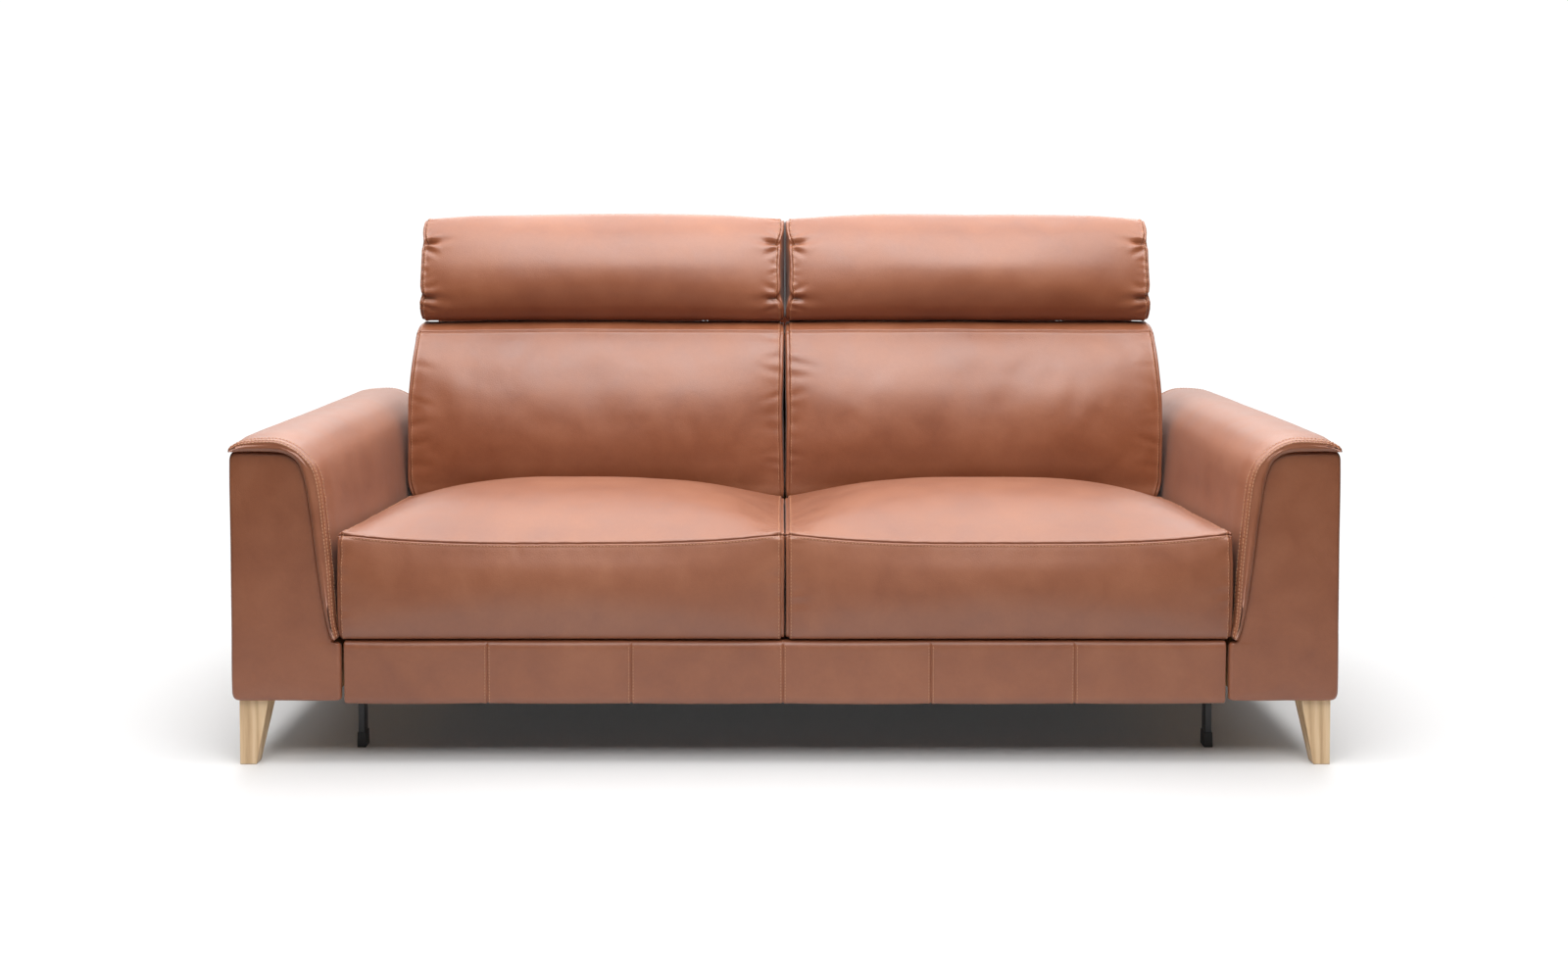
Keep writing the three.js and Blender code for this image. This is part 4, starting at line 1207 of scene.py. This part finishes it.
def rail_cover():
    ring = np.array([(4.6, 220.0), (4.0, 200.0), (4.0, 168.0), (4.0, 136.0), (4.6, 119.0), (8.5, 113.2), (16.0, 112.3), (34.0, 112.2), (54.0, 112.3),
                     (59.0, 114.0), (59.8, 118.5), (58.5, 122.8), (52.0, 124.0), (34.0, 124.1), (25.0, 124.8), (21.6, 129.0), (21.2, 140.0), (21.2, 170.0),
                     (21.2, 205.0), (22.0, 214.6), (26.5, 217.8), (33.0, 218.0), (40.0, 219.0), (41.6, 222.3), (39.5, 225.8), (32.0, 226.6), (18.0, 226.7), (8.5, 225.6)])
    med = ring.copy()
    for i, p in enumerate(ring):
        if p[1] > 217.0 and p[0] > 12:
            med[i] = (p[0], 222.2)
        elif p[1] < 125.0 and p[0] > 14:
            med[i] = (p[0], 118.2)
        else:
            med[i] = (12.5, min(max(p[1], 119.0), 221.0))
    rep = lambda arr: (lambda tt: np.repeat(arr[None], np.size(tt), axis=0))
    loft = Loft(-797.0, 797.0, rep(ring), rep(med), r=3.2, cap=4.4, bulge=0.0)
    x2u = lambda x: loft.U[2] + (x - (loft.a + loft.r))
    marks = [x2u(x) for x in SEAMS_X]
    u = graded(loft.Lu, 9.0, marks + [loft.U[1], loft.U[4]], 0.9, 5, 14)
    v = graded(loft.Lv, 5.0, [], closed=True)
    P = loft.points(u, v)
    N = outward(P)
    front = smoothstep((loft.v_of(7) - v) / 20.0)
    f = 0.8 * noise2(u, v, 110, 60, 171, loft.Lv) * front[None, :]
    for m in marks:
        f += (seam_profile(u - m, 1.9, 1.2, 0.5, 4.0))[:, None] * front[None, :]
    # each panel is slightly fuller between its seams
    edges = [x2u(-797.0)] + marks + [x2u(797.0)]
    for e0, e1 in zip(edges[:-1], edges[1:]):
        w = np.clip((u - e0) / (e1 - e0), 0, 1)
        f += (1.3 * np.sin(np.pi * w) ** 0.6)[:, None] * front[None, :] * ((u > e0) & (u < e1))[:, None]
    st = []
    for i, m in enumerate(marks):
        for sg in (1, -1):
            st += puckers(180 + i * 3 + sg, "v", m, (0, loft.v_of(5)), sg, (16, 34), (10, 28), (3, 5), (0.2, 0.6))
    f += stroke_field(u, v, st, loft.Lv)
    P = P + N * f[..., None]
    ob = loft_mesh("front_rail_leather", P, LEATHER)
    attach(ob, "sofa_body")
    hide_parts("front_rail_cover")
    N2 = outward(P)
    vr = np.linspace(2.0, loft.v_of(4.6), 160)
    paths = [grid_path(P, N2, u, v, np.full_like(vr, m + k), vr, loft.Lv) for m in marks for k in (-4.0, 4.0)]
    stitches_object("front_rail_stitches", paths, "sofa_body", pitch=5.5, length=4.0, radius=0.45, lift=0.05)
    return ob


# ---------------------------------------------------------------- hard pieces and slabs
def slab(outline, lo, hi, axis, bevel=2.0, seg=3, sub=0.0):
    """bmesh of an extruded outline with rounded edges; outline in the two axes other than `axis`."""
    bm = bmesh.new()
    def place(p, h):
        p = (p[0], p[1])
        return {"x": (h, p[0], p[1]), "y": (p[0], h, p[1]), "z": (p[0], p[1], h)}[axis]
    lo_v = [bm.verts.new(place(p, lo)) for p in outline]
    hi_v = [bm.verts.new(place(p, hi)) for p in outline]
    bm.faces.new(lo_v[::-1])
    bm.faces.new(hi_v)
    n = len(outline)
    for i in range(n):
        j = (i + 1) % n
        bm.faces.new((lo_v[i], lo_v[j], hi_v[j], hi_v[i]))
    bmesh.ops.recalc_face_normals(bm, faces=bm.faces)
    if bevel:
        bmesh.ops.bevel(bm, geom=list(bm.edges), offset=bevel, segments=seg, profile=0.5, affect="EDGES", clamp_overlap=True)
    return bm


def join_slabs(name, slabs, mat, smooth_angle=0.6):
    me = bpy.data.meshes.new(name)
    total = bmesh.new()
    for bm in slabs:
        tmp = bpy.data.meshes.new("tmp")
        bm.to_mesh(tmp)
        total.from_mesh(tmp)
        bm.free()
        bpy.data.meshes.remove(tmp)
    for v in total.verts:
        v.co = Vector((v.co.x * 0.001, (v.co.y - OFF) * 0.001, v.co.z * 0.001))
    bmesh.ops.recalc_face_normals(total, faces=total.faces)
    total.to_mesh(me)
    total.free()
    me.materials.append(mat)
    me.polygons.foreach_set("use_smooth", [True] * len(me.polygons))
    ob = bpy.data.objects.new(name, me)
    bpy.context.scene.collection.objects.link(ob)
    mod = ob.modifiers.new("wn", "WEIGHTED_NORMAL")
    mod.keep_sharp = False
    mod.weight = 80
    return ob


def back_cover():
    slabs = []
    hx = [-620, -180, 180, 620]
    # roof with an opening for each hinge
    out = [(-797.0, 780.0)]
    for x in hx:
        out += [(x - 25.0, 780.0), (x - 25.0, 834.0), (x + 25.0, 834.0), (x + 25.0, 780.0)]
    out += [(797.0, 780.0), (797.0, 910.5), (-797.0, 910.5)]
    slabs.append(slab(out, 723.0, 735.0, "z", 2.6, 3))
    slabs.append(slab([(850.0, 735.4), (910.8, 735.4), (910.8, 768.0), (850.0, 768.0)], -797.0, 797.0, "x", 7.0, 4))
    for s in (-1, 1):
        xs = (-797.0, -786.0) if s < 0 else (786.0, 797.0)
        slabs.append(slab([(838.0, 240.0), (910.5, 240.0), (910.5, 722.4), (838.0, 722.4)], xs[0], xs[1], "x", 3.0, 3))
        slabs.append(slab([(780.5, 735.4), (849.4, 735.4), (849.4, 755.0), (780.5, 755.0)], xs[0], xs[1], "x", 3.0, 3))
    ob = join_slabs("back_wrap_leather", slabs, LEATHER)
    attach(ob, "sofa_body")
    ring = [(-786.0, 121.5), (-400.0, 120.5), (0.0, 120.5), (400.0, 120.5), (786.0, 121.5), (795.0, 126.0), (797.0, 136.0), (797.0, 300.0), (797.0, 560.0), (797.0, 749.0),
            (795.0, 762.0), (786.0, 767.4), (400.0, 768.0), (0.0, 768.0), (-400.0, 768.0), (-786.0, 767.4), (-795.0, 762.0), (-797.0, 749.0), (-797.0, 560.0), (-797.0, 300.0), (-797.0, 136.0), (-795.0, 126.0)]
    loft, u, v, P, N, f = ring_panel("rear", ring, 911.5, 929.5, "y", 7.0, 120.0, 2.0, False, ((-560.0, 428.0), (560.0, 428.0)), seed=201, amp=0.7)
    P = P + N * f[..., None]
    rear = loft_mesh("back_panel_leather", P, LEATHER)
    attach(rear, "sofa_body")
    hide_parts("back_outer_cover")
    # topstitch just inside the edge of the rear panel
    x = np.linspace(-780, 780, 800)
    z = np.linspace(140, 749, 400)
    paths = []
    ny = np.array([0.0, 1.0, 0.0])
    yy = 929.5 - 2.0 * (1 - math.sin(math.pi / 2 * (14 - 7) / 113.0)) + 0.3
    paths.append((np.stack([x, np.full_like(x, yy), np.full_like(x, 754.0)], 1), np.tile(ny, (len(x), 1))))
    for sx in (-783.0, 783.0):
        paths.append((np.stack([np.full_like(z, sx), np.full_like(z, yy), z], 1), np.tile(ny, (len(z), 1))))
    stitches_object("back_panel_stitches", paths, "sofa_body", pitch=6.0, length=4.3, radius=0.55, lift=0.0)
    return ob


def wooden_leg(name, sx, sy):
    X = lambda v: sx * (1000.0 - 11.5 - v)
    Y = lambda v: (11.5 + v) if sy < 0 else (930.0 - 11.5 - v)
    bm = bmesh.new()
    levels = []
    for k, zz in enumerate([0.0, 2.0, 30.0, 60.0, 90.0, 117.6]):
        w = 30.0 + (53.0 - 30.0) * zz / 117.6
        levels.append([bm.verts.new((X(p), Y(q), zz)) for p, q in ((0, 0), (w, 0), (w, w), (0, w))])
    for l0, l1 in zip(levels[:-1], levels[1:]):
        for j in range(4):
            bm.faces.new((l0[j], l0[(j + 1) % 4], l1[(j + 1) % 4], l1[j]))
    bm.faces.new(levels[0][::-1])
    bm.faces.new(levels[-1])
    bmesh.ops.recalc_face_normals(bm, faces=bm.faces)
    sharp = [e for e in bm.edges if len(e.link_faces) == 2 and e.calc_face_angle(0) > 0.5]
    bmesh.ops.bevel(bm, geom=sharp, offset=1.5, segments=3, profile=0.5, affect="EDGES", clamp_overlap=True)
    ob = join_slabs(f"{name}_wood", [bm], ASH)
    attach(ob, "sofa_body")
    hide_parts(name)
    return ob


def support(side):
    s = -1 if side == "left" else 1
    cx, y0, y1 = s * 793.0, 112.0, 138.0
    bar = slab([(cx - 6, y0), (cx + 6, y0), (cx + 6, y1), (cx - 6, y1)], 10.0, 121.0, "z", 1.2, 3)
    xa, xb = (cx - 6, cx + 38) if s < 0 else (cx - 38, cx + 6)
    tab = slab([(xa, y0 - 12), (xb, y0 - 12), (xb, y1 + 12), (xa, y1 + 12)], 120.0, 124.6, "z", 1.0, 2)
    ob = join_slabs(f"support_leg_steel_{side}", [bar, tab], BLACK)
    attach(ob, "sofa_body")
    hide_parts(f"support_leg_{side}")
    foot = bmesh.new()
    ring = lambda w, d, z: [foot.verts.new((cx + p * w, (y0 + y1) / 2 + q * d, z)) for p, q in ((-1, -1), (1, -1), (1, 1), (-1, 1))]
    lv = [ring(8.0, 15.0, 0.0), ring(8.0, 15.0, 6.0), ring(7.6, 14.6, 24.0), ring(7.4, 14.4, 28.0), ring(6.3, 13.3, 28.0), ring(6.3, 13.3, 9.7)]
    for l0, l1 in zip(lv[:-1], lv[1:]):
        for j in range(4):
            foot.faces.new((l0[j], l0[(j + 1) % 4], l1[(j + 1) % 4], l1[j]))
    foot.faces.new(lv[0][::-1])
    foot.faces.new(lv[-1])
    bmesh.ops.recalc_face_normals(foot, faces=foot.faces)
    sharp = [e for e in foot.edges if len(e.link_faces) == 2 and e.calc_face_angle(0) > 0.9]
    bmesh.ops.bevel(foot, geom=sharp, offset=0.7, segments=2, profile=0.5, affect="EDGES", clamp_overlap=True)
    fo = join_slabs(f"support_foot_boot_{side}", [foot], PLASTIC)
    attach(fo, "sofa_body")
    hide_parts(f"support_foot_{side}")


for side in ("left", "right"):
    seat_cushion(side)
    back_cushion(side)
    headrest(side)
    arm_pad(side)
    arm_cover(side)
    support(side)
rail_cover()
back_cover()
for a, sy in (("front", -1), ("rear", 1)):
    for s, sx in (("left", -1), ("right", 1)):
        wooden_leg(f"leg_{a}_{s}", sx, sy)

new_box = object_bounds()


def plain(v):
    if hasattr(v, "__len__"):
        return [plain(x) for x in v]
    return float(v)


{"cad": plain(CAD_BOX), "visual": plain(new_box)}
